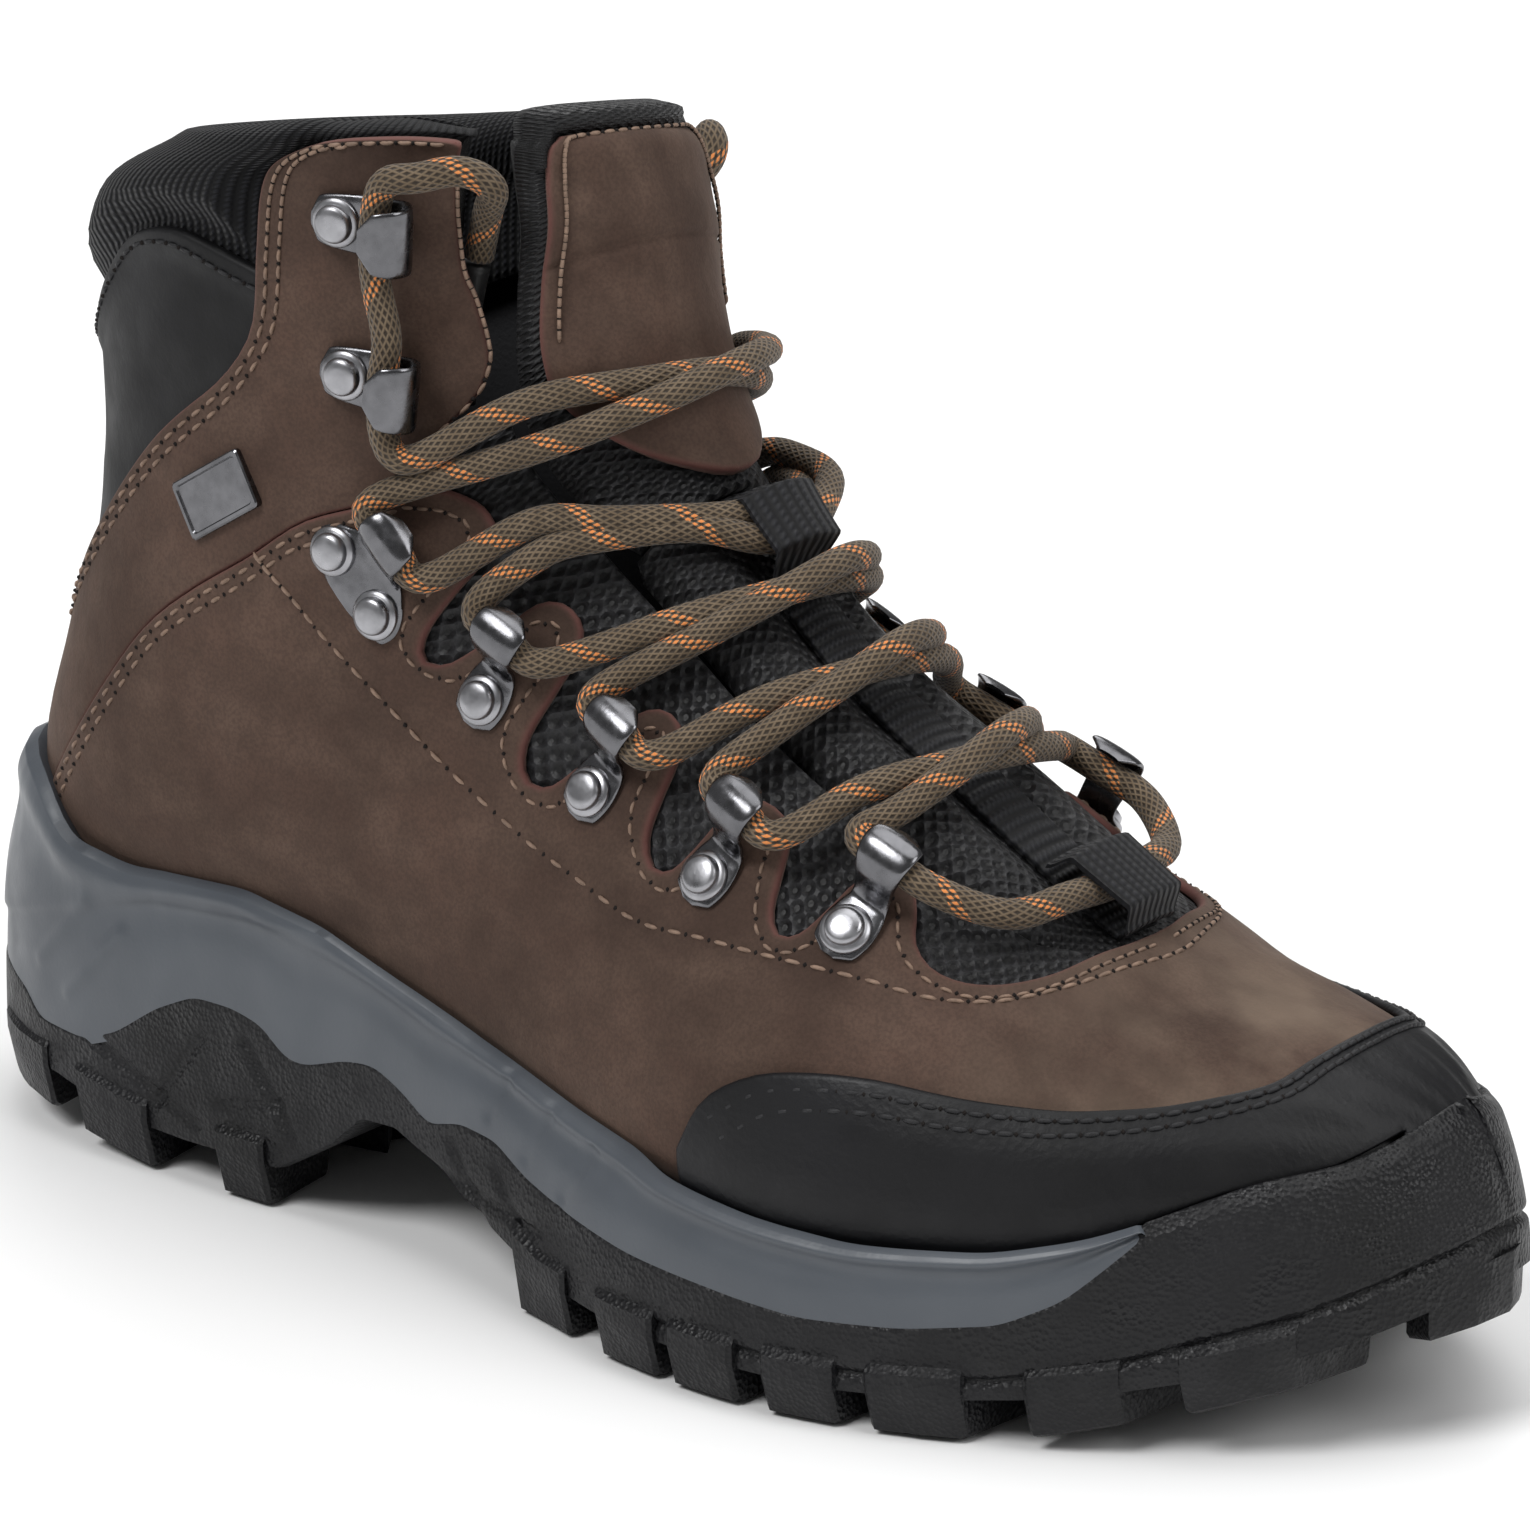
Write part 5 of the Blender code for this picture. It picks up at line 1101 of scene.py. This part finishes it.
def bent_strap(name, place, stations, node, thickness=1.1):
    """A pressed metal fitting: stations are (in, height, half width) from the rivet end, in millimetres."""
    point, normal, up, inward = place
    p = spline(stations, 56)
    line = p[:, :2]
    side = left_of(unit(np.gradient(line, axis=0)))
    angle = circle(20)
    wide = np.sign(np.cos(angle)) * np.abs(np.cos(angle)) ** 0.55
    thick = np.sign(np.sin(angle)) * np.abs(np.sin(angle)) ** 0.75
    vertices = []
    for k, ((x, z), (sx, sz), half) in enumerate(zip(line, side, p[:, 2])):
        end = min(k, len(p) - 1 - k) / 5
        taper = math.sqrt(min(1.0, 0.25 + 0.75 * end))
        # The strap is dished across: its edges turn down a little.
        for w, t in zip(wide, thick):
            off = t * thickness / 2 * taper - 0.035 * w * w * half
            across = w * half * taper
            vertices.append(point + (inward * (x + sx * off) + normal * (z + sz * off) + up * across) * MM)
    obj = add(name, vertices, tube_faces(len(p), len(angle)), GUNMETAL, flat=60)
    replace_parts(obj, node)


# Half a rivet's section, as (share of its radius, height).
RIVET_PROFILE = [(1.0, -0.2), (1.04, 0.3), (1.0, 0.62), (0.86, 0.8), (0.80, 0.9), (0.79, 1.5), (0.74, 1.95),
                 (0.6, 2.25), (0.35, 2.4), (0.12, 2.43)]
RIVET_RADIUS = 3.9
RIVET_BASE = 1.35


def rivet(name, place, y, node):
    """A pressed rivet, y millimetres up the facing from place: a raised collar round a flat-topped dome."""
    point, normal, up, inward = place
    x = -0.3 if y else 0.0
    centre = point + (inward * x + up * y + normal * RIVET_BASE) * MM
    angle = circle(36)
    vertices = []
    for r, h in RIVET_PROFILE:
        vertices += [centre + ((inward * math.cos(a) + up * math.sin(a)) * r * RIVET_RADIUS + normal * h) * MM
                     for a in angle]
    faces = tube_faces(len(RIVET_PROFILE), len(angle))
    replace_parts(add(name, vertices, faces, PALE_METAL, flat=50), node)


# Fittings from the rivet end to the lip that holds the lace, as (in, height, half width).
LOOP_STRAP = [(-4.6, 0.75, 2.6), (-3, 0.8, 3.9), (0, 0.85, 4.5), (3, 0.85, 4.2), (5.4, 1.1, 3.5),
              (7.0, 3.0, 3.5), (8.0, 5.6, 3.9), (9.9, 7.9, 4.4), (12.4, 8.6, 4.7), (14.6, 7.8, 4.5),
              (16.2, 6.0, 3.9)]
LOCK_STRAP = [(-4.6, 0.75, 8.6), (-3, 0.8, 10.2), (0, 0.85, 10.6), (3, 0.85, 9.0), (5.6, 1.1, 6.0),
              (7.2, 3.0, 4.9), (8.2, 5.6, 4.8), (10.1, 7.9, 4.9), (12.6, 8.6, 4.9), (14.7, 7.8, 4.5),
              (16.1, 6.0, 3.8)]
HOOK_STRAP = [(-4.6, 0.75, 2.6), (-3, 0.8, 3.9), (0, 0.85, 4.5), (5, 0.85, 4.9), (9.5, 0.95, 5.0),
              (12.2, 1.9, 5.3), (13.9, 4.6, 5.5), (13.1, 7.6, 5.4), (10.4, 9.0, 5.0), (7.3, 8.8, 3.9)]


def build_fittings(side):
    """Loops, lock and hooks with their rivets on one side; returns their places for the lace."""
    word = "lateral" if side < 0 else "medial"
    loops = [LAST.frame(s, side * u) for s, u in LOOPS]
    for k, place in enumerate(loops, 1):
        bent_strap(f"loop_{k}_{word}", place, LOOP_STRAP, f"eyelet_loop_{k}_{word}")
        rivet(f"rivet_{k}_{word}", place, 0.0, f"rivet_loop_{k}_{word}")
    lock = LAST.frame(LOCK[0], side * LOCK[1])
    bent_strap(f"lock_{word}", lock, LOCK_STRAP, f"eyelet_lock_{word}")
    rivet(f"rivet_upper_{word}", lock, 6.2, f"rivet_lock_upper_{word}")
    rivet(f"rivet_lower_{word}", lock, -6.2, f"rivet_lock_lower_{word}")
    hooks = [LAST.frame(s, side * u) for s, u in HOOKS]
    for k, place in enumerate(hooks, 1):
        bent_strap(f"hook_{k}_{word}", place, HOOK_STRAP, f"speed_hook_{k}_{word}", 1.2)
        rivet(f"rivet_{k + 4}_{word}", place, 0.0, f"rivet_hook_{k}_{word}")
    return loops + [lock] + hooks


def tube(name, path, radius, material, node):
    """A round cord along path, with UV running along and round it."""
    ahead = unit(np.gradient(path, axis=0))
    across = np.cross(ahead[0], [0.3, 0.2, 1.0])
    angle = circle(16)
    vertices, uv = [], []
    for point, t, far in zip(path, ahead, run(path)):
        across = unit(across - t * np.dot(across, t))
        beside = np.cross(t, across)
        for a in angle:
            vertices.append(point + (across * math.cos(a) + beside * math.sin(a)) * radius)
            uv.append((far, a * radius))
    obj = add(name, vertices, tube_faces(len(path), len(angle)), material, uv=uv)
    close_round(obj.data, 2 * math.pi * radius)
    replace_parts(obj, node)
    return obj


def close_round(mesh, girth):
    """Lets the second UV axis run on to its full girth where faces close a tube."""
    uv = mesh.uv_layers[0].data
    for face in mesh.polygons:
        high = max(uv[i].uv.y for i in face.loop_indices)
        for i in face.loop_indices:
            if high - uv[i].uv.y > girth / 2:
                uv[i].uv.y += girth


# Points of the fine lace line that each tip takes.
TIP_POINTS = 22


def build_lace(lateral, medial):
    """The lace, smoothed as one line, with its tips cut from the ends."""
    path = lace_path(lateral, medial)
    fine = even(spline(path, len(path) * 8), 1300)
    for _ in range(6):
        fine[1:-1] = (fine[:-2] + 2 * fine[1:-1] + fine[2:]) / 4
    cord = fine[TIP_POINTS:-TIP_POINTS]
    lace = tube("lace_braid", cord, LACE_RADIUS, BRAID, "lace")
    tips = [tube(f"tip_{word}", line, LACE_RADIUS * 0.9, PLASTIC, f"aglet_{word}")
            for word, line in (("lateral", fine[:TIP_POINTS]), ("medial", fine[-TIP_POINTS:]))]


def build_keeper(name, node, s_from, s_to, half_u, low, high):
    """A webbing loop on the tongue that strands of lace run under."""
    stations = np.linspace(s_from, s_to, 41)
    share = np.abs(2 * (stations - s_from) / (s_to - s_from) - 1)
    rise = low + (high - low) * smoothstep(0.0, 0.3, 1 - share)
    us = np.linspace(-half_u, half_u, 13)
    crown = 0.9 + 0.25 * (1 - (us / half_u) ** 2)
    vertices, uv = [], []
    for s, h in zip(stations, rise):
        vertices += [over(s, u, h) for u in us] + [over(s, u, h + c) for u, c in zip(us[::-1], crown)]
        uv += [(u * U_SIZE * MM, s * S_SIZE * MM) for u in np.r_[us, us[::-1]]]
    faces = tube_faces(len(stations), 2 * len(us))
    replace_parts(add(name, vertices, faces, WEBBING, uv=uv, flat=50), node)


# The badge from its back to the middle of its face, as (half length, half height, height off the leather).
BADGE_RINGS = [(8.2, 5.0, -0.4), (8.2, 5.0, 0.7), (7.96, 4.76, 0.95), (7.4, 4.2, 0.95), (7.16, 3.96, 0.6),
               (2.0, 1.0, 0.6)]


def build_badge():
    """A small blank metal plate with a raised rim, its long side level with the seam below it."""
    point, normal, up, inward = LAST.frame(13.95, -0.53)
    tilt = math.radians(40)
    ahead = inward * math.cos(tilt) + up * math.sin(tilt)
    rise = up * math.cos(tilt) - inward * math.sin(tilt)
    corner, bow = 0.8, 0.006
    vertices = []
    for half_x, half_y, h in BADGE_RINGS:
        for x, y in ((1, 1), (-1, 1), (-1, -1), (1, -1)):
            for a in np.arctan2(y, x) + np.linspace(-math.pi / 4, math.pi / 4, 5):
                cx = x * (half_x - corner) + corner * math.cos(a)
                cy = y * (half_y - corner) + corner * math.sin(a)
                vertices.append(point + (ahead * cx + rise * cy + normal * (h - bow * cx * cx)) * MM)
    faces = tube_faces(len(BADGE_RINGS), 20)
    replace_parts(add("badge_plate", vertices, faces, GUNMETAL, flat=35), "badge")


def collar_outer(s, u):
    """Height of the collar's knit: low under the leather and the heel patch, full above them."""
    points = np.column_stack([s, -np.abs((u + 1.0) % 2.0 - 1.0)]) * FLAT
    clear = np.full(len(points), np.inf)
    for outline in (FLAP, PATCH_TOP + PATCH_FOOT):
        loop = np.array(outline) * FLAT
        away = distance(points, loop)
        away[inside(points, loop)] = 0.0
        clear = np.minimum(clear, away)
    return -4.0 + 4.6 * smoothstep(1.5, 9.0, clear)


def build_collar():
    """The padded knit roll round the top, open at the front."""
    front, back = -0.235, -1.765
    low_s, high_s = 15.3, 17.95
    us = np.linspace(front, back, 261)
    outer_s = np.linspace(low_s, high_s, 22)
    turn = np.linspace(0, math.pi, 13)[1:-1]
    inner_s = np.linspace(high_s, low_s, 16)
    count = len(outer_s) + len(turn) + len(inner_s)
    girth = np.linspace(0, 0.1, count)
    vertices, uv = [], []
    for u in us:
        edge = min(abs(u - front), abs(u - back)) / 0.12
        high = collar_outer(outer_s, np.full(len(outer_s), u))
        low = np.full(len(inner_s), -7.4 - 4.4 * min(edge, 1.0))
        middle, half = (high[-1] + low[0]) / 2, (high[-1] - low[0]) / 2
        s = np.r_[outer_s, high_s + np.sin(turn) * half * 1.2 / S_SIZE, inner_s]
        h = np.r_[high, middle + half * np.cos(turn), low]
        vertices.append(over(s, u, h))
        uv += [(u * U_SIZE * 1.15 * MM, g) for g in girth]
    faces = tube_faces(len(us), count)
    obj = add("collar_knit", np.vstack(vertices), faces, KNIT, uv=uv)
    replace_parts(obj, "collar")


def tongue_high(s, u):
    """The tongue's padded top: a flat middle for the webbing between two pads."""
    across = np.abs(u)
    pads = smoothstep(0.045, 0.085, across) * (1 - smoothstep(0.12, 0.165, across))
    start = smoothstep(6.7, 7.4, s)
    channel = 0.55 * np.exp(-(((across - 0.105) / 0.006) ** 2))
    return -2.6 + (0.2 + 2.9 * pads - channel) * start - 0.9 * smoothstep(0.12, 0.16, across)


TAB_EDGE = thin([SEAM[-1]] + TABS, 1.6)
# The mesh beside the tongue, and the lining of one side, as outlines.
GUSSET = [(6.6, -0.1), (6.9, -0.14), (7.6, -0.16), (9.0, -0.165), (11.0, -0.17), (12.75, -0.178),
          (12.75, -0.3), (12.3, -0.37), (11.5, -0.43), (10.6, -0.46), (9.6, -0.44), (8.6, -0.39),
          (7.6, -0.32), (6.9, -0.29), (6.4, -0.21), (6.3, -0.12)]
SOCK = [(5.8, -0.004), (6.1, -0.16), (7.0, -0.26), (8.0, -0.3), (9.5, -0.33), (11.0, -0.33), (12.6, -0.29),
        (14.0, -0.265), (16.2, -0.25), (16.2, -0.5), (16.2, -0.75), (16.2, -0.997), (13.3, -0.997),
        (12.95, -0.97), (12.6, -0.93)]


def build_vamp():
    """The leather from the toe to the quarters, with its scalloped tabs under the loops."""
    def high(s, u, away):
        return 0.1 + 0.35 * np.sin(s * 2.3 + 4 * u) * np.cos(u * 11 + s) * smoothstep(4, 14, away)

    seam = thin(SEAM, 2.5)[1:-1]
    # At the toe the leather runs on a little under the rand.
    front = [(s - 0.45 * (1 - min(abs(u) / 0.45, 1)), u - 0.06 * min(abs(u) / 0.2, 1))
             for s, u in thin(CAP[3:], 5)]
    outline = seam + TAB_EDGE + mirrored(TAB_EDGE[:-1]) + mirrored(seam) + tucked(12.4, 7.75, 1, 0.045, 40)
    outline += [(s, -u) for s, u in front] + front[-2::-1] + tucked(12.4, 7.75, -1, 0.045, 40)[::-1]
    panel("vamp_leather", outline, high, -1.6, NUBUCK, "vamp")


def build_quarters():
    """The ankle leather and the gusset mesh of both sides."""
    quarter = thin(FLAP, 2.5) + [(13.7, -0.997), (13.25, -0.997), (12.95, -0.985)]
    quarter += [(s + 0.01, u) for s, u in thin(SEAM, 3)][1:-1]
    for word, turned in SIDES:
        panel(f"quarter_leather_{word}", turned(quarter), -0.55, -2.3, NUBUCK,
              f"ankle_quarter_{word}")
        panel(f"gusset_mesh_{word}", turned(GUSSET), -1.9, -3.7, MESH, f"gusset_{word}",
              3.5, 2.0)


def build_toe_rand():
    """The black leather round the toe, puckered a little as it goes under the rim."""
    def high(s, u, away):
        return 1.65 + 0.5 * smoothstep(7.0, 7.7, s) + 0.25 * np.sin(u * 55 + s) * smoothstep(4, 12, away)

    edge = thin(CAP, 2.5)
    toe = [(1.75, -0.4), (1.45, -0.2), (1.35, 0.0), (1.45, 0.2), (1.75, 0.4)]
    outline = edge + mirrored(edge[:-1]) + tucked(8.25, 2.2, 1, 0.03, 44) + toe[::-1]
    outline += tucked(8.25, 2.2, -1, 0.03, 44)[::-1]
    panel("toe_rand", outline, high, 0.3, RAND, "toe_cap", 2.6)


def build_heel_panel():
    """The black panel round the heel, let in below the collar; it crosses the heel seam at u = -1."""
    def high(s, u, away):
        return -1.9 - 0.75 * smoothstep(3.2, 4.6, away) + 0.5 * smoothstep(10.0, 22.0, away)

    top, foot = thin(PATCH_TOP, 3), thin(PATCH_FOOT, 4)
    outline = top[:-1] + [(s, -2.0 - u) for s, u in reversed(top)]
    outline += [(s, -2.0 - u) for s, u in reversed(foot)][:-1] + foot
    panel("heel_panel", outline, high, -3.7, HEEL, "heel_patch", 1.6)


def build_lining():
    """The cloth inside both sides."""
    for word, turned in SIDES:
        shape = SOCK + tucked(12.2, 2.6, -1, 0.02, 22) + [(2.2, -0.35), (2.0, -0.004)]
        panel(f"lining_cloth_{word}", turned(shape), -6.3, -7.1, LINING, f"lining_{word}",
              5.0, 3.0)


def build_tongue():
    """Two padded parts, the leather patch and the tape down the middle."""
    half = [(6.5, -0.12), (6.9, -0.155), (8.0, -0.16), (9.4, -0.16), (10.6, -0.16), (10.75, -0.15)]
    panel("tongue_pad_lower", half + mirrored(half) + [(6.05, 0.06), (6.05, -0.06)],
          lambda s, u, away: tongue_high(s, u), -5.4, TONGUE_MESH, "tongue_lower", 1.9, 1.6,
          edge_round=1.8)

    def upper_high(s, u, away):
        side = smoothstep(0.118, 0.145, np.abs(u))
        top = smoothstep(17.85, 18.3, s)
        return -1.6 + 3.6 * np.maximum(side, top) * smoothstep(0.2, 4.5, away)

    half = [(10.8, -0.14), (11.2, -0.158), (12.5, -0.162), (14.5, -0.165), (16.5, -0.17), (18.2, -0.172),
            (18.6, -0.16), (18.75, -0.12)]
    outline = half + [(18.8, 0.0)] + mirrored(half)
    pads = panel("tongue_pad_upper", thin(outline + outline[:1], 3)[:-1], upper_high, -6.6, TONGUE_MESH,
                 "tongue_upper", 2.6, 1.6, body=None, edge_round=2.0)

    def patch_high(s, u, away):
        fold = 0.6 * np.exp(-(((s - 14.2 - 0.6 * np.abs(u)) / 0.06) ** 2))
        return 1.5 - fold + 0.5 * (1 - (u / 0.14) ** 2) + 0.25 * np.sin(s * 2.7 + 9 * u)

    patch = [(17.9, -0.13), (17.98, -0.1), (18.02, 0.0), (17.98, 0.1), (17.9, 0.122), (17.0, 0.126),
             (15.0, 0.126), (13.0, 0.126), (12.1, 0.115), (11.4, 0.082), (10.98, 0.035), (10.88, 0.0),
             (10.98, -0.035), (11.4, -0.085), (12.1, -0.122), (13.0, -0.138), (15.0, -0.14), (17.0, -0.138)]
    leather = panel("tongue_leather", thin(patch + patch[:1], 2.5)[:-1], patch_high, -0.7, NUBUCK,
                    "tongue_patch", 2.2, body=None)
    start, end = LAST.point(10.9, 0.0) - SHIFT, LAST.point(12.6, 0.0) - SHIFT
    for piece in (pads, leather):
        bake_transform(piece)
    tape = [(6.5, -0.045), (9.95, -0.045), (9.95, 0.045), (6.5, 0.045)]
    panel("tongue_tape", tape, -0.9, -2.0, WEBBING, "tongue_webbing", 2.5, 1.4,
          edge_round=0.4)


# Stitch lines that follow no edge: along the facing's base, and round the tongue patch.
FACING = [(12.95, -0.455), (12.3, -0.42), (11.75, -0.415), (11, -0.437), (10.45, -0.452), (10, -0.457),
          (9.63, -0.447), (9.2, -0.43), (8.66, -0.385), (7.65, -0.32), (7.2, -0.295), (6.76, -0.25),
          (6.42, -0.178), (6.22, -0.10), (6.09, -0.034), (6.07, 0)]
PATCH_LINE = [(13.2, -0.122), (15.0, -0.124), (17.0, -0.122), (17.72, -0.112), (17.84, -0.06), (17.86, 0.02),
              (17.8, 0.09), (17.6, 0.108), (16.8, 0.11), (13.2, 0.11)]


def both(lines):
    """Stitch rows of the outer side, and their mirror images on the inner side."""
    return lines + [([(s, -u) for s, u in points], -offset) for points, offset in lines]


def build_stitches():
    """Every visible row, with offsets and heights in millimetres."""
    stitch("facing_thread", both([(FACING, 0.0)]), 0.15, TAN, pitch=3.3, length=2.8)
    scallops = [place for place in TAB_EDGE if place[0] < 12.45][::4]
    stitch("scallop_thread", both([(scallops, 2.4)]), 0.15, TAN, pitch=2.6, length=2.2,
           radius=0.3)
    stitch("seam_thread", both([(SEAM[1:], 2.0), (SEAM[1:], 4.2)]), 0.15, TAN)
    rear, fore = FLAP[12:-1], FLAP[:10]
    stitch("flap_thread", both([(rear, -2.2), (rear[3:], -4.4), (fore, 0)]), -0.45, TAN)
    stitch("rand_thread", both([(CAP[1:], 2.2), (CAP[1:], 4.8)]), 1.75, BLACK_THREAD,
           pitch=3.2, length=2.9, radius=0.42)
    stitch("patch_thread", [(PATCH_LINE, 0.0)], 2.0, TAN, body="tongue_top", pitch=2.8,
           length=2.3)
    stitch("heel_thread", both([(PATCH_TOP[1:], -2.4)]), -1.8, BLACK_THREAD, pitch=3.0)


# The camera stands at the photograph's angle, a metre from the boot's middle.
AZIMUTH, ELEVATION, DISTANCE = 36.17, 16.35, 1.0
AIM = Vector((0.004, 0.0047, 0.085))
LENS, SENSOR = 148.0, 36.0
SHIFT_X, SHIFT_Y = 0.0186, -0.0236
# Suns as (name, azimuth, elevation, strength, how wide the source looks), with angles in degrees.
SUNS = (("key", -12, 50, 1.8, 24), ("fill", 92, 40, 1.0, 35), ("top", 150, 80, 1.2, 50),
        ("back", 215, 40, 0.6, 30))
WORLD_LIGHT = 0.2
# Half the floor's side, in metres.
FLOOR = 6.0


def aimed(name, data, azimuth, elevation, distance):
    """An object that looks at AIM from an angle in degrees."""
    a, e = math.radians(azimuth), math.radians(elevation)
    back = Vector((math.sin(a) * math.cos(e), -math.cos(a) * math.cos(e), math.sin(e)))
    made = bpy.data.objects.new(name, data)
    made.location = AIM + back * distance
    made.rotation_mode = "QUATERNION"
    made.rotation_quaternion = (-back).to_track_quat("-Z", "Y")
    bpy.context.scene.collection.objects.link(made)
    return made


def make_camera():
    """The photograph's view."""
    data = bpy.data.cameras.new("camera")
    data.lens, data.sensor_width = LENS, SENSOR
    data.shift_x, data.shift_y = SHIFT_X, SHIFT_Y
    bpy.context.scene.camera = aimed("camera", data, AZIMUTH, ELEVATION, DISTANCE)


def make_studio():
    """A white room: even light from four sides and a pale floor."""
    world = bpy.data.worlds.new("studio")
    world.use_nodes = True
    background = world.node_tree.nodes["Background"].inputs
    background["Color"].default_value = (1.0, 1.0, 1.0, 1.0)
    background["Strength"].default_value = WORLD_LIGHT
    bpy.context.scene.world = world
    bpy.context.scene.view_settings.view_transform = "Standard"
    for name, azimuth, elevation, strength, spread in SUNS:
        data = bpy.data.lights.new(name, "SUN")
        data.energy, data.angle = strength, math.radians(spread)
        aimed(name, data, azimuth, elevation, 2.0)
    mesh = bpy.data.meshes.new("ground")
    mesh.from_pydata([(-FLOOR, -FLOOR, 0), (FLOOR, -FLOOR, 0), (FLOOR, FLOOR, 0), (-FLOOR, FLOOR, 0)], [],
                     [(0, 1, 2, 3)])
    pale = Paint("ground", 0.9)
    pale.colour((0.9, 0.9, 0.9))
    mesh.materials.append(pale.material)
    ground = bpy.data.objects.new("ground", mesh)
    bpy.context.scene.collection.objects.link(ground)
    ground.location.z = -0.4 * MM


def hidden_nodes(nodes):
    """Materials for the CAD pieces that stay: the board and the stiffeners inside."""
    for name, paint, slot_name in (("insole_board", BOARD, "board_fabric"),
                                   ("shank", PLASTIC, "shank_plastic"),
                                   ("toe_puff", PLASTIC, "stiffener_plastic"),
                                   ("heel_counter", PLASTIC, "stiffener_plastic")):
        nodes[name].data.materials.clear()
        nodes[name].data.materials.append(paint)


make_camera()
lateral, medial = build_fittings(-1), build_fittings(1)
build_lace(lateral, medial)
sole = Sole()
build_midsole(sole)
build_outsole(sole)
build_lugs(sole)
build_footbed(sole)
build_vamp()
build_quarters()
build_toe_rand()
build_heel_panel()
build_lining()
build_tongue()
build_collar()
build_keeper("keeper_top", "lace_keeper_top", 9.9, 10.68, 0.045, 0.2, 5.6)
build_keeper("keeper_bottom", "lace_keeper_bottom", 6.45, 7.25, 0.055, 0.6, 4.9)
build_stitches()
build_badge()
hidden_nodes(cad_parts)
make_studio()
